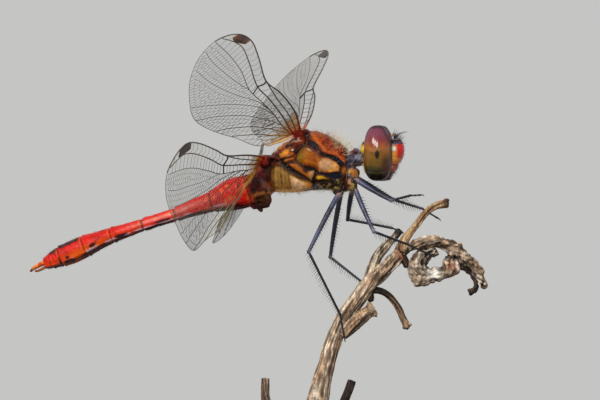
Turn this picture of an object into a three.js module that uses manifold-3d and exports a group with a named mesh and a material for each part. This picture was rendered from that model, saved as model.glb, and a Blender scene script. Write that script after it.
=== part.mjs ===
// A male ruddy darter dragonfly, life size, gripping a dry stem on a small display stand.
//
// Units are millimetres and +Z is up. The origin is the centre of the stand base's underside.
// The dragonfly has a frame of its own: x runs forward along the body, y to its left and z up,
// from a point in the middle of the thorax.

import * as THREE from 'three';
import { mergeVertices } from 'three/addons/utils/BufferGeometryUtils.js';
import Module from 'manifold-3d';

const wasm = await Module();
wasm.setup();

// ---------------------------------------------------------------- driving dimensions

const GAP = 0.05; // between pieces that touch

const THORAX_AT = [-1.25, 0, 28.16];
const BODY_YAW = -7.5; // degrees, head turned towards -Y

const LEG_BORE = 0.25; // least radius of a leg, feeler or claw
const WING_THICKNESS = 0.5;
const WING_SPAN = 27.5;

const FOREWING = {
  root: [-0.57, 1.3, 2.85],
  sweep: 3.4,
  dihedral: 17.8,
  droop: 26.6,
  twist: 8,
  lead: [[0, -0.1], [4.5, -0.45], [9.7, -0.17], [13.8, 0.42], [19, 0], [22.7, -0.2], [25.2, 0.2],
    [26.7, 0.95], [27.55, 1.85]],
  trail: [[0, 1.1], [1.1, 3.7], [5.5, 5.2], [11, 6.85], [15.3, 7.4], [20.4, 6.7], [23.9, 5.75],
    [26.3, 4.5], [27.4, 3.3], [27.75, 2.5]],
};

const HINDWING = {
  root: [-3.74, 1.2, 0.5],
  sweep: 8.1,
  dihedral: 2.1,
  droop: 59.8,
  twist: 15,
  lead: [[0, 0], [5, 0.1], [10.8, 0.43], [14.7, 0.1], [19.6, -0.23], [22.9, -0.16], [24.6, 0.4],
    [25.9, 1.2], [26.8, 2.1]],
  trail: [[0, 1.0], [0.9, 4.2], [1.3, 7.2], [4.9, 8.3], [7.6, 9.45], [13.1, 8.6], [18.7, 7.06],
    [22.4, 5.9], [25, 4.75], [26.6, 3.5], [27, 2.7]],
};

// The left wings are held a little differently from the right ones.
const FOREWING_LEFT = { ...FOREWING, sweep: 1.6, dihedral: 18.6, twist: 5 };
const HINDWING_LEFT = {
  ...HINDWING,
  root: [-4.0, 1.2, 0.46],
  sweep: 8.5,
  dihedral: 3.5,
  droop: 53,
  twist: 24,
};

// Rows along the abdomen: x and z of its middle, half the width and half the height.
const ABDOMEN = [
  [-3.2, -1.0, 1.3, 1.6],
  [-3.87, -1.7, 1.35, 1.75],
  [-5.25, -2.45, 1.4, 1.6],
  [-6.9, -2.87, 1.25, 1.4],
  [-8.65, -3.47, 0.82, 0.92],
  [-10.6, -4.1, 0.66, 0.73],
  [-11.9, -4.6, 0.62, 0.6],
  [-14.85, -5.53, 0.68, 0.55],
  [-16.46, -6.07, 0.82, 0.61],
  [-17.7, -6.47, 0.94, 0.68],
  [-19.15, -7.04, 1.12, 0.82],
  [-20.15, -7.46, 1.2, 0.96],
  [-21.38, -8.02, 1.2, 1.0],
  [-22.36, -8.4, 1.05, 0.9],
  [-23.3, -8.82, 0.76, 0.66],
  [-23.85, -9.05, 0.6, 0.5],
];

// The row at which each of the ten segments begins, and the last row's own.
const SEGMENT_ROWS = [0, 1, 2, 4, 6, 7, 9, 11, 13, 14, 15];

// Rows along the thorax from the rear: x, its top, its underside and half the width.
const THORAX = [
  [-3.3, 0.6, -2.3, 1.15],
  [-2.88, 1.16, -2.6, 1.5],
  [-2.07, 1.75, -2.64, 1.9],
  [-1.17, 2.3, -2.62, 2.15],
  [-0.36, 2.72, -2.54, 2.3],
  [0.45, 2.84, -2.42, 2.35],
  [1.62, 2.48, -2.4, 2.2],
  [2.7, 1.87, -2.4, 1.85],
  [3.35, 1.4, -1.95, 1.45],
  [3.75, 0.95, -1.2, 0.95],
];

const COXA_RADIUS = 0.58;
const MIDDLE_COXA = [3.85, 0.75, -1.85];
const HIND_COXA = [2.75, 0.75, -2.3];
const FRONT_COXA = [4.05, 0.72, -0.95];

// The middle of each leg: hip, knee, end of the shin and end of the foot.
const LEGS = {
  front_right: [[4.25, -0.75, -1.4], [7.68, -2.0, -3.35], [9.3, -1.0, -2.9], [10.2, -0.47, -2.86]],
  front_left: [[4.25, 0.8, -1.3], [7.33, 2.78, -3.26], [10.07, 2.03, -4.09], [11.45, 2.22, -4.95]],
  middle_right: [[4.25, -0.65, -2.15], [6.18, -2.41, -6.1], [9.02, -0.43, -7.26], [11.08, 0.4, -8.26]],
  middle_left: [[3.95, 0.85, -2.15], [3.24, 2.65, -5.06], [7.35, 1.77, -5.81], [8.21, 1.38, -6.13]],
  hind_right: [[2.95, -0.85, -2.6], [0.5, -3.36, -7.88], [3.0, -0.82, -13.51], [3.34, -0.47, -15.6]],
  hind_left: [[2.9, 0.7, -2.6], [1.67, 2.64, -8.42], [4.57, 1.61, -10.57], [5.04, 1.47, -11.36]],
};
const FEMUR_RADII = [0.34, 0.33, 0.27];
const TIBIA_RADII = [0.22, 0.27, 0.25];
const TARSUS_RADII = [0.22, 0.26, 0.25];

const EYE_AT = [6.45, 1.38, 0.86];
const EYE_SIZE = [1.26, 1.62, 2.5];
const EYE_LEAN = 9; // degrees, the tops lean together
const EYE_FULLNESS = 2.8; // 2 is an oval outline seen from the side, more is squarer
const EYE_CORNER = 1.9; // the same for the upper front corner, which slopes away

const STAND_RADIUS = 22;
const STAND_HEIGHT = 4;
const STAND_BEVEL = 0.8;
const ROD_RADIUS = 0.8;
const ROD_X = -0.55; // the rod stands under the foot of the stem
const STEM_FOOT = 5.6; // height at which the stem is cut

// ---------------------------------------------------------------- solids and cuts

function solid(geometry) {
  const bare = geometry.index ? geometry.toNonIndexed() : geometry.clone();
  bare.deleteAttribute('normal');
  bare.deleteAttribute('uv');
  const merged = mergeVertices(bare, 1e-5);
  const mesh = new wasm.Mesh({
    numProp: 3,
    vertProperties: Float32Array.from(merged.attributes.position.array),
    triVerts: Uint32Array.from(merged.index.array),
  });
  return new wasm.Manifold(mesh);
}

function geometryOf(body) {
  const mesh = body.getMesh();
  const geometry = new THREE.BufferGeometry();
  geometry.setAttribute('position', new THREE.BufferAttribute(Float32Array.from(mesh.vertProperties), 3));
  geometry.setIndex(Array.from(mesh.triVerts));
  geometry.computeVertexNormals();
  return geometry;
}

function join(...parts) {
  return geometryOf(parts.map(solid).reduce((whole, part) => whole.add(part)));
}

function cut(part, ...tools) {
  return geometryOf(tools.map(solid).reduce((rest, tool) => rest.subtract(tool), solid(part)));
}

// Closes a row of rings, each with the same number of points, into one body.
function skin(rings) {
  const points = [];
  const faces = [];
  const count = rings[0].length;
  for (const ring of rings) points.push(...ring);
  for (let row = 0; row < rings.length - 1; row += 1) {
    for (let i = 0; i < count; i += 1) {
      const a = row * count + i;
      const b = row * count + (i + 1) % count;
      faces.push(a, b, b + count, a, b + count, a + count);
    }
  }
  const last = (rings.length - 1) * count;
  for (let i = 1; i < count - 1; i += 1) {
    faces.push(0, i + 1, i);
    faces.push(last, last + i, last + i + 1);
  }
  const geometry = new THREE.BufferGeometry();
  geometry.setFromPoints(points);
  geometry.setIndex(faces);
  geometry.computeVertexNormals();
  return geometry;
}

function smoothRoute(points) {
  return new THREE.CatmullRomCurve3(points.map((point) => new THREE.Vector3(...point)));
}

const ACROSS = new THREE.Vector3(0, 1, 0);

// Sweeps an oval section along a smooth route. widths and heights are half sizes at the
// route's points, and tip is how far each end is rounded, as a share of its radius.
function sweep({ route, widths, heights = widths, from = 0, to = 1, rings = 6, sides = 8, tip = [0, 0],
  grow = 0, ridges = 0, ridgeDepth = 0 }) {
  const path = smoothRoute(route);
  const sizes = smoothRoute(widths.map((width, i) => [width, heights[i], 0]));
  const stations = [];
  for (let i = 0; i <= rings; i += 1) {
    stations.push({ t: from + (to - from) * i / rings, share: 1, push: 0 });
  }
  const ends = [[stations[0], -1, tip[0]], [stations[rings], 1, tip[1]]];
  for (const [end, direction, roundness] of ends) {
    if (roundness === 0) continue;
    const cap = { t: end.t, share: 0.6, push: direction * 0.75 * roundness };
    if (direction < 0) stations.unshift(cap);
    else stations.push(cap);
  }
  const result = [];
  for (const [index, { t, share, push }] of stations.entries()) {
    const tangent = path.getTangent(t);
    const side = ACROSS.clone().addScaledVector(tangent, -tangent.dot(ACROSS)).normalize();
    const up = new THREE.Vector3().crossVectors(tangent, side);
    const size = sizes.getPoint(t);
    const isEnd = index === 0 || index === stations.length - 1;
    const out = isEnd ? Math.sign(index - 0.5) * grow : 0;
    const centre = path.getPoint(t).addScaledVector(tangent, push * size.y + out);
    const ring = [];
    for (let i = 0; i < sides; i += 1) {
      const angle = 2 * Math.PI * i / sides;
      const ridge = 1 + ridgeDepth * Math.sin(ridges * angle + 9 * t);
      const wide = size.x * share * ridge + grow;
      const high = size.y * share * ridge + grow;
      const point = centre.clone().addScaledVector(side, wide * Math.cos(angle));
      ring.push(point.addScaledVector(up, high * Math.sin(angle)));
    }
    result.push(ring);
  }
  return skin(result);
}

function oval({ at, size, turn = [0, 0, 0], grow = 0, detail = 12 }) {
  const geometry = new THREE.SphereGeometry(1, detail, Math.round(detail * 0.7));
  geometry.scale(size[0] + grow, size[1] + grow, size[2] + grow);
  geometry.rotateX(THREE.MathUtils.degToRad(turn[0]));
  geometry.rotateY(THREE.MathUtils.degToRad(turn[1]));
  geometry.rotateZ(THREE.MathUtils.degToRad(turn[2]));
  geometry.translate(...at);
  return geometry;
}

// Left and right share every size; side is 1 on the left and -1 on the right.
function onSide([x, y, z], side) {
  return [x, y * side, z];
}

function material(color, roughness, metalness = 0) {
  return new THREE.MeshStandardMaterial({ color, roughness, metalness });
}

const dragonfly = new THREE.Group();
dragonfly.position.set(...THORAX_AT);
dragonfly.rotation.z = THREE.MathUtils.degToRad(BODY_YAW);
dragonfly.updateMatrix();

const perch = new THREE.Group();
const stand = new THREE.Group();

function place(group, name, geometry, finish) {
  const mesh = new THREE.Mesh(geometry, finish);
  mesh.name = name;
  group.add(mesh);
}

// ---------------------------------------------------------------- thorax and prothorax

// The thorax sections are a rounded box, fuller below than above.
function thoraxShell(grow) {
  const rings = THORAX.map(([x, top, bottom, half], row) => {
    const out = row === 0 ? -grow : (row === THORAX.length - 1 ? grow : 0);
    const middle = (top + bottom) / 2;
    const high = (top - bottom) / 2 + grow;
    const ring = [];
    const sides = 12;
    for (let i = 0; i < sides; i += 1) {
      const angle = 2 * Math.PI * i / sides;
      const across = Math.sign(Math.cos(angle)) * Math.abs(Math.cos(angle)) ** 0.85;
      const up = Math.sign(Math.sin(angle)) * Math.abs(Math.sin(angle)) ** 0.85;
      ring.push(new THREE.Vector3(x + out, (half + grow) * across, middle + high * up));
    }
    return ring;
  });
  return skin(rings);
}

function coxa(at, side, grow) {
  return oval({ at: onSide(at, side), size: [COXA_RADIUS, COXA_RADIUS, COXA_RADIUS * 1.1], grow, detail: 6 });
}

// A low lump on each flank carries the root of a wing.
function wingHinge(wing, side, grow) {
  const [x, y, z] = wing.root;
  return oval({ at: [x, (y - 0.35) * side, z - 0.45], size: [0.75, 0.6, 0.75], grow, detail: 5 });
}

function thoraxBody(grow) {
  const lumps = [];
  for (const side of [-1, 1]) {
    lumps.push(coxa(MIDDLE_COXA, side, grow));
    lumps.push(coxa(HIND_COXA, side, grow));
    lumps.push(wingHinge(FOREWING, side, grow));
    lumps.push(wingHinge(HINDWING, side, grow));
  }
  return join(thoraxShell(grow), ...lumps);
}

function prothoraxBody(grow) {
  const collar = sweep({
    route: [[3.6, 0, 0.1], [4.2, 0, 0.35], [4.75, 0, 0.55], [5.3, 0, 0.6]],
    widths: [1.0, 0.95, 0.6, 0.42],
    heights: [1.25, 1.0, 0.65, 0.42],
    rings: 4,
    sides: 9,
    grow,
  });
  const coxae = [-1, 1].map((side) => coxa(FRONT_COXA, side, grow));
  return join(collar, ...coxae);
}

const thoraxCutter = thoraxBody(GAP);

place(dragonfly, 'thorax', thoraxBody(0), material('#b0622a', 0.55));

// ---------------------------------------------------------------- head, face and eyes

// A globe whose outline fills out towards a rounded square, except at its upper front corner,
// while its middle stays round.
function fullGlobe() {
  const globe = new THREE.SphereGeometry(1, 13, 9);
  const points = globe.attributes.position;
  for (let i = 0; i < points.count; i += 1) {
    const point = new THREE.Vector3().fromBufferAttribute(points, i);
    const round = Math.hypot(point.x, point.z);
    const ahead = Math.max(point.x, 0) / Math.max(round, 1e-9);
    const above = Math.max(point.z, 0) / Math.max(round, 1e-9);
    const power = EYE_FULLNESS + (EYE_CORNER - EYE_FULLNESS) * 2 * ahead * above;
    const full = (Math.abs(point.x) ** power + Math.abs(point.z) ** power) ** (1 / power);
    const outline = round + (full - round) * (1 - point.y ** 2);
    point.divideScalar(Math.hypot(outline, point.y));
    points.setXYZ(i, point.x, point.y, point.z);
  }
  return globe;
}

// Each eye stops at the midline, where the two meet.
function eyeBall(side, grow) {
  const half = new THREE.BoxGeometry(8, 4, 8);
  half.translate(EYE_AT[0], side * (2 + GAP / 2 - grow), EYE_AT[2]);
  const ball = fullGlobe();
  ball.scale(...EYE_SIZE.map((size) => size + grow));
  ball.rotateX(THREE.MathUtils.degToRad(side * EYE_LEAN));
  ball.translate(...onSide(EYE_AT, side));
  return geometryOf(solid(ball).intersect(solid(half)));
}

// The skull reaches back behind the eyes as a low, wide plate.
function headBody(grow) {
  const skull = oval({ at: [6.45, 0, 0.45], size: [1.2, 1.7, 1.95], grow, detail: 8 });
  const rear = oval({ at: [5.15, 0, 1.2], size: [0.42, 1.55, 0.8], grow, detail: 7 });
  return join(skull, rear);
}

function faceBody(grow) {
  const vertex = oval({ at: [7.62, 0, 2.15], size: [0.5, 0.5, 0.6], grow, detail: 6 });
  const brow = oval({ at: [7.4, 0, 1.7], size: [0.6, 0.6, 0.8], grow, detail: 6 });
  const frons = oval({ at: [7.75, 0, 1.12], size: [0.93, 1.15, 0.72], grow, detail: 8 });
  const clypeus = oval({ at: [7.6, 0, 0.25], size: [0.85, 1.2, 0.62], grow, detail: 8 });
  return join(vertex, brow, frons, clypeus);
}

function mouthBody(grow) {
  const labrum = oval({ at: [7.25, 0, -0.5], size: [0.72, 1.15, 0.6], grow, detail: 8 });
  const labium = oval({ at: [6.85, 0, -1.05], size: [0.8, 1.0, 0.5], turn: [0, 25, 0], grow, detail: 7 });
  return join(labrum, labium);
}

const eyeCutters = [-1, 1].map((side) => eyeBall(side, GAP));

for (const [name, side] of [['eye_right', -1], ['eye_left', 1]]) {
  place(dragonfly, name, eyeBall(side, 0), material('#5e3216', 0.12));
}
const skull = cut(headBody(0), ...eyeCutters, faceBody(GAP), mouthBody(GAP));
place(dragonfly, 'head', skull, material('#1d1413', 0.4));
place(dragonfly, 'face', cut(faceBody(0), ...eyeCutters), material('#c62a1c', 0.35));
place(dragonfly, 'mouthparts', cut(mouthBody(0), ...eyeCutters, faceBody(GAP)), material('#7e3424', 0.4));

for (const [name, side] of [['antenna_right', -1], ['antenna_left', 1]]) {
  const feeler = sweep({
    route: [[7.7, 0.3, 2.3], [8.25, 0.6, 2.6], [8.85, 1.0, 2.8]].map((point) => onSide(point, side)),
    widths: [LEG_BORE, LEG_BORE, LEG_BORE],
    rings: 4,
    sides: 6,
    tip: [0, 1],
  });
  place(dragonfly, name, cut(feeler, faceBody(GAP), ...eyeCutters), material('#15110f', 0.5));
}

place(
  dragonfly,
  'prothorax',
  cut(prothoraxBody(0), thoraxCutter, headBody(GAP), ...eyeCutters),
  material('#8a5a34', 0.6),
);

// ---------------------------------------------------------------- abdomen

const abdomenSweep = {
  route: ABDOMEN.map(([x, z]) => [x, 0, z]),
  widths: ABDOMEN.map((row) => row[2]),
  heights: ABDOMEN.map((row) => row[3]),
};
const lastRow = ABDOMEN.length - 1;
const abdomenLength = smoothRoute(abdomenSweep.route).getLength();

function segment(number, grow) {
  const jointGap = grow > 0 ? 0 : GAP / 2 / abdomenLength;
  const first = SEGMENT_ROWS[number - 1];
  const last = SEGMENT_ROWS[number];
  return sweep({
    ...abdomenSweep,
    from: first / lastRow + jointGap,
    to: last / lastRow - jointGap,
    rings: 2 * (last - first) + 1,
    sides: 10,
    grow,
  });
}

for (let number = 1; number <= 10; number += 1) {
  const plain = segment(number, 0);
  const ring = number <= 2 ? cut(plain, thoraxCutter) : plain;
  place(dragonfly, `abdomen_${number}`, ring, material(number <= 2 ? '#5a1a10' : '#c4230f', 0.4));
}

const lobe = join(
  oval({ at: [-4.05, 0, -3.35], size: [0.85, 0.6, 0.8], detail: 8 }),
  sweep({
    route: [[-4.3, 0, -3.6], [-4.35, 0, -4.1], [-4.05, 0, -4.35]],
    widths: [0.3, 0.27, 0.25],
    rings: 3,
    sides: 6,
  }),
);
const lobeNeighbours = [1, 2, 3].map((number) => segment(number, GAP));
place(dragonfly, 'genital_lobe', cut(lobe, thoraxCutter, ...lobeNeighbours), material('#8a3a1c', 0.5));

const tailCutter = segment(10, GAP);
const epiproct = {
  route: [[-23.6, 0, -9.25], [-24.3, 0, -9.62], [-24.75, 0, -9.75]],
  widths: [0.38, 0.32, 0.25],
  heights: [0.3, 0.28, 0.25],
  rings: 3,
  sides: 6,
  tip: [0, 1],
};
place(dragonfly, 'epiproct', cut(sweep(epiproct), tailCutter), material('#b3401c', 0.45));
for (const [name, side] of [['cercus_right', -1], ['cercus_left', 1]]) {
  const route = [[-23.6, 0.3, -8.85], [-24.5, 0.36, -9.3], [-25.15, 0.3, -9.75]];
  const cercus = sweep({
    route: route.map((point) => onSide(point, side)),
    widths: [0.26, 0.27, 0.25],
    rings: 3,
    sides: 6,
    tip: [0, 0.6],
  });
  const plateCutter = sweep({ ...epiproct, grow: GAP });
  place(dragonfly, name, cut(cercus, tailCutter, plateCutter), material('#cf3d18', 0.45));
}

// ---------------------------------------------------------------- wings

// A wing is a thin blade between its leading and trailing edges. It leans back by sweep, rises
// by dihedral, and its trailing edge hangs by droop at the root and by droop + twist at the tip.
function wingBlade({ root, sweep: swept, dihedral, droop, twist, lead, trail }, side) {
  const stations = 16;
  const chordSteps = 2;
  const radians = THREE.MathUtils.degToRad;
  const span = new THREE.Vector3(
    -Math.sin(radians(swept)) * Math.cos(radians(dihedral)),
    side * Math.cos(radians(swept)) * Math.cos(radians(dihedral)),
    Math.sin(radians(dihedral)),
  );
  const back = new THREE.Vector3(-1, 0, 0).addScaledVector(span, span.x).normalize();
  const down = new THREE.Vector3().crossVectors(back, span).multiplyScalar(side);
  const origin = new THREE.Vector3(...onSide(root, side));
  const edge = (points) => new THREE.SplineCurve(points.map((point) => new THREE.Vector2(...point)));
  const leading = edge(lead).getSpacedPoints(stations);
  const trailing = edge(trail).getSpacedPoints(stations);
  const rings = leading.map((front, i) => {
    const upper = [];
    const lower = [];
    for (let j = 0; j <= chordSteps; j += 1) {
      const at = front.clone().lerp(trailing[i], j / chordSteps);
      const angle = radians(droop + twist * at.x / WING_SPAN);
      const chord = back.clone().multiplyScalar(Math.cos(angle)).addScaledVector(down, Math.sin(angle));
      const normal = new THREE.Vector3().crossVectors(span, chord).multiplyScalar(side);
      const point = origin.clone().addScaledVector(span, at.x).addScaledVector(chord, at.y);
      upper.push(point.clone().addScaledVector(normal, WING_THICKNESS / 2));
      lower.unshift(point.addScaledVector(normal, -WING_THICKNESS / 2));
    }
    return [...upper, ...lower];
  });
  if (side > 0) rings.reverse();
  return skin(rings);
}

for (const [name, wing, side] of [
  ['forewing_right', FOREWING, -1],
  ['forewing_left', FOREWING_LEFT, 1],
  ['hindwing_right', HINDWING, -1],
  ['hindwing_left', HINDWING_LEFT, 1],
]) {
  place(dragonfly, name, cut(wingBlade(wing, side), thoraxCutter), material('#8f9a6a', 0.2));
}

// ---------------------------------------------------------------- legs

const bodyCutters = [thoraxCutter, prothoraxBody(GAP)];

// The start of a femur is hidden in its coxa and the start of each later part in the one before.
function legPart(start, end, radii, bow, grow = 0) {
  const middle = start.map((value, i) => (value + end[i]) / 2);
  middle[2] += bow;
  return sweep({ route: [start, middle, end], widths: radii, rings: 3, sides: 6, tip: [0, 1], grow });
}

const FEMUR_BOW = 0.08;
const footCutters = [];
for (const [name, [hip, knee, ankle, toe]] of Object.entries(LEGS)) {
  const black = material('#17151c', 0.35);
  const femur = [hip, knee, FEMUR_RADII, FEMUR_BOW];
  const tibia = [knee, ankle, TIBIA_RADII, 0];
  const tarsus = [ankle, toe, TARSUS_RADII, 0];
  place(dragonfly, `${name}_femur`, cut(legPart(...femur), ...bodyCutters), black);
  place(dragonfly, `${name}_tibia`, cut(legPart(...tibia), legPart(...femur, GAP)), black.clone());
  place(dragonfly, `${name}_tarsus`, cut(legPart(...tarsus), legPart(...tibia, GAP)), black.clone());
  footCutters.push(legPart(...tibia, GAP), legPart(...tarsus, GAP));
}

// ---------------------------------------------------------------- perch

for (const cutter of footCutters) cutter.applyMatrix4(dragonfly.matrix);

const STEM = {
  route: [[-0.6, 0, STEM_FOOT - 0.5], [-0.4, 0, 6.9], [-0.05, 0, 8.6], [0.47, 0, 10.4], [1.12, 0, 12.4],
    [2.0, 0, 14.3], [3.1, 0, 15.95], [4.15, 0, 17.3], [5.1, 0, 18.3], [6.15, 0, 19.2], [7.1, 0, 20.15]],
  widths: [0.95, 1.0, 0.85, 0.76, 0.7, 0.7, 0.72, 0.74, 0.66, 0.62, 0.62],
  rings: 15,
  sides: 8,
  tip: [0, 0.7],
  ridges: 3,
  ridgeDepth: 0.08,
};

const TWIGS = {
  twig_top: {
    route: [[7.0, 0, 20.2], [7.4, 0, 21.3], [8.45, -0.1, 22.7], [9.3, -0.2, 23.75], [10.2, -0.3, 24.35],
      [11.2, -0.3, 24.55]],
    widths: [0.6, 0.4, 0.32, 0.3, 0.32, 0.4],
    rings: 9,
  },
  twig_left: {
    route: [[4.1, 0.3, 17.5], [4.5, 0.4, 18.9], [5.05, 0.4, 20.0], [5.9, 0.3, 20.93], [6.6, 0.2, 21.64],
      [7.0, 0.15, 22.2]],
    widths: [0.48, 0.46, 0.42, 0.42, 0.4, 0.36],
    rings: 7,
  },
  stub: {
    route: [[1.75, -0.1, 12.8], [2.8, -0.4, 13.8], [3.75, -0.4, 14.6], [4.65, -0.4, 15.2]],
    widths: [0.5, 0.62, 0.6, 0.5],
    rings: 6,
  },
  twig_lower: {
    route: [[3.9, 0.2, 16.7], [5.0, 0.3, 16.77], [6.0, 0.3, 16.3], [6.8, 0.3, 15.3], [7.2, 0.3, 14.4],
      [7.65, 0.3, 13.5]],
    widths: [0.34, 0.28, 0.28, 0.3, 0.3, 0.34],
    rings: 7,
  },
  twig_spur: {
    route: [[4.1, 0.2, 16.9], [4.35, 0.2, 16.2], [4.3, 0.2, 15.75]],
    widths: [0.32, 0.3, 0.26],
    rings: 3,
  },
  twig_thorn: {
    route: [[7.1, 0, 19.8], [7.45, 0, 19.3], [7.6, 0, 18.8]],
    widths: [0.4, 0.32, 0.26],
    rings: 2,
  },
  shoot_right: {
    route: [[-0.2, 0, 5.95], [1.0, 0, 6.0], [1.75, 0, 6.5], [2.25, 0, 7.5], [2.68, 0, 8.75]],
    widths: [0.42, 0.4, 0.4, 0.38, 0.36],
    rings: 6,
  },
  shoot_left: {
    route: [[-1.1, 0, 6.1], [-2.9, 0, 5.6], [-4.4, 0, 6.0], [-5.04, 0, 7.2], [-5.04, 0, 8.95]],
    widths: [0.45, 0.42, 0.4, 0.38, 0.36],
    rings: 7,
  },
};

// The dry leaf hangs from the stem's top node as a curled arm, a crumpled ring and a thin stalk.
const LEAF = {
  leaf_arm: {
    route: [[7.2, 0, 20.3], [8.4, 0, 20.85], [10.3, 0, 21.1], [11.4, 0, 20.8], [12.45, 0, 20.05],
      [13.4, 0, 19.05], [14.05, 0, 18.0], [14.6, 0, 17.1]],
    widths: [0.5, 0.75, 0.95, 1.0, 0.95, 0.75, 0.45, 0.36],
    heights: [0.45, 0.42, 0.45, 0.55, 0.6, 0.5, 0.34, 0.32],
    rings: 11,
  },
  leaf_curl: {
    route: [[11.96, 0.1, 19.86], [11.5, 0.1, 19.0], [10.95, 0, 18.4], [10.0, 0, 18.1], [9.0, 0, 18.0],
      [8.5, 0, 18.6], [8.7, 0, 19.35], [9.4, 0, 20.0], [10.2, 0, 20.35]],
    widths: [0.6, 0.85, 0.9, 0.9, 0.85, 0.8, 0.7, 0.6, 0.45],
    heights: [0.45, 0.68, 0.66, 0.68, 0.82, 0.85, 0.8, 0.55, 0.38],
    rings: 12,
  },
  leaf_stalk: {
    route: [[12.2, 0.1, 19.5], [13.0, 0.1, 18.6], [13.7, 0.1, 17.7], [13.65, 0.1, 17.0], [13.15, 0.1, 16.65]],
    widths: [0.27, 0.26, 0.26, 0.26, 0.34],
    rings: 7,
  },
};

// The stem is sawn off square at its foot.
const sawn = new THREE.BoxGeometry(4, 4, 2);
sawn.translate(ROD_X, 0, STEM_FOOT - 1);

const wood = () => material('#a8906c', 0.85);
place(perch, 'stem', cut(sweep(STEM), sawn, ...footCutters), wood());

// Each later piece is cut by all the pieces before it.
const perchCutters = [sweep({ ...STEM, grow: GAP }), ...footCutters];
for (const [name, shape] of Object.entries({ ...TWIGS, ...LEAF })) {
  const form = { sides: 7, tip: [0, 0.6], ridges: 2, ridgeDepth: 0.05, ...shape };
  place(perch, name, cut(sweep(form), ...perchCutters), wood());
  perchCutters.push(sweep({ ...form, grow: GAP }));
}

// ---------------------------------------------------------------- display stand

const baseProfile = [
  [0, 0],
  [STAND_RADIUS - STAND_BEVEL / 2, 0],
  [STAND_RADIUS, STAND_BEVEL / 2],
  [STAND_RADIUS, STAND_HEIGHT - STAND_BEVEL],
  [STAND_RADIUS - STAND_BEVEL, STAND_HEIGHT],
  [0, STAND_HEIGHT],
].map(([radius, height]) => new THREE.Vector2(radius, height));
const base = new THREE.LatheGeometry(baseProfile, 20);
base.rotateX(Math.PI / 2);
place(stand, 'stand_base', base, material('#3a2419', 0.4));

const rodLength = STEM_FOOT - STAND_HEIGHT - 2 * GAP;
const rod = new THREE.CylinderGeometry(ROD_RADIUS, ROD_RADIUS, rodLength, 12);
rod.rotateX(Math.PI / 2);
rod.translate(ROD_X, 0, STAND_HEIGHT + GAP + rodLength / 2);
place(stand, 'stand_rod', rod, material('#b99a5c', 0.3, 1));

const model = new THREE.Group();
model.add(dragonfly, perch, stand);

export default model;
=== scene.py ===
"""A life-size male ruddy darter dragonfly on a cut dry stem: the looks, in metres, round the solids.

Shapes are worked out in millimetres. Those of the insect are in its own frame, with x forward,
y to its left and z up from the middle of the thorax, and to_world() sets them on the perch.
Left and right share every size; side is 1 on the left and -1 on the right.
"""

import math

import bpy
import numpy as np
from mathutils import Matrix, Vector
from mathutils.geometry import delaunay_2d_cdt


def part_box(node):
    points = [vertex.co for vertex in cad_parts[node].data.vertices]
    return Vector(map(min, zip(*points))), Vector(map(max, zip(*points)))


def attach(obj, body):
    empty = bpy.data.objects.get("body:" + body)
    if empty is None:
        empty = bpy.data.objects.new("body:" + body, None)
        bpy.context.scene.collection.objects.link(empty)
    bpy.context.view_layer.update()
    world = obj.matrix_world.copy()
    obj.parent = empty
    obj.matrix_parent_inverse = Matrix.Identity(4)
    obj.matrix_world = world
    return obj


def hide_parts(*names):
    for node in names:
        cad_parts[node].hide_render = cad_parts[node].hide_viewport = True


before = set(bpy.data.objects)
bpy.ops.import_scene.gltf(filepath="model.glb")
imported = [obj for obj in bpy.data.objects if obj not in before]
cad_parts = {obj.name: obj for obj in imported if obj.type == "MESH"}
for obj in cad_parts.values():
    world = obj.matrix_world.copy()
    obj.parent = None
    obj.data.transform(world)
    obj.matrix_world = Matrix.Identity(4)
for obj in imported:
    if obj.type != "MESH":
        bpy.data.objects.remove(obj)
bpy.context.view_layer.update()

MM = 0.001
ACROSS = np.array([0.0, 1.0, 0.0])

# ---------------------------------------------------------------- driving sizes, as in the solids

THORAX_AT = np.array([-1.25, 0.0, 28.16])
BODY_YAW = math.radians(-7.5)

# Abdomen stations from the waist to the tail: x, z, half width, half height.
ABDOMEN = np.array([
    [-3.2, -1.0, 1.3, 1.6], [-3.87, -1.7, 1.35, 1.75], [-5.25, -2.45, 1.4, 1.6],
    [-6.9, -2.87, 1.25, 1.4], [-8.65, -3.47, 0.82, 0.92], [-10.6, -4.1, 0.66, 0.73],
    [-11.9, -4.6, 0.62, 0.6], [-14.85, -5.53, 0.68, 0.55], [-16.46, -6.07, 0.82, 0.61],
    [-17.7, -6.47, 0.94, 0.68], [-19.15, -7.04, 1.12, 0.82], [-20.15, -7.46, 1.2, 0.96],
    [-21.38, -8.02, 1.2, 1.0], [-22.36, -8.4, 1.05, 0.9], [-23.3, -8.82, 0.76, 0.66],
    [-23.85, -9.05, 0.6, 0.5],
])
# Where each segment ends, as a station number, from the first segment to the tenth.
SEGMENT_ENDS = [1, 2, 4, 6, 7, 9, 11, 13, 14, 15]
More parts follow.
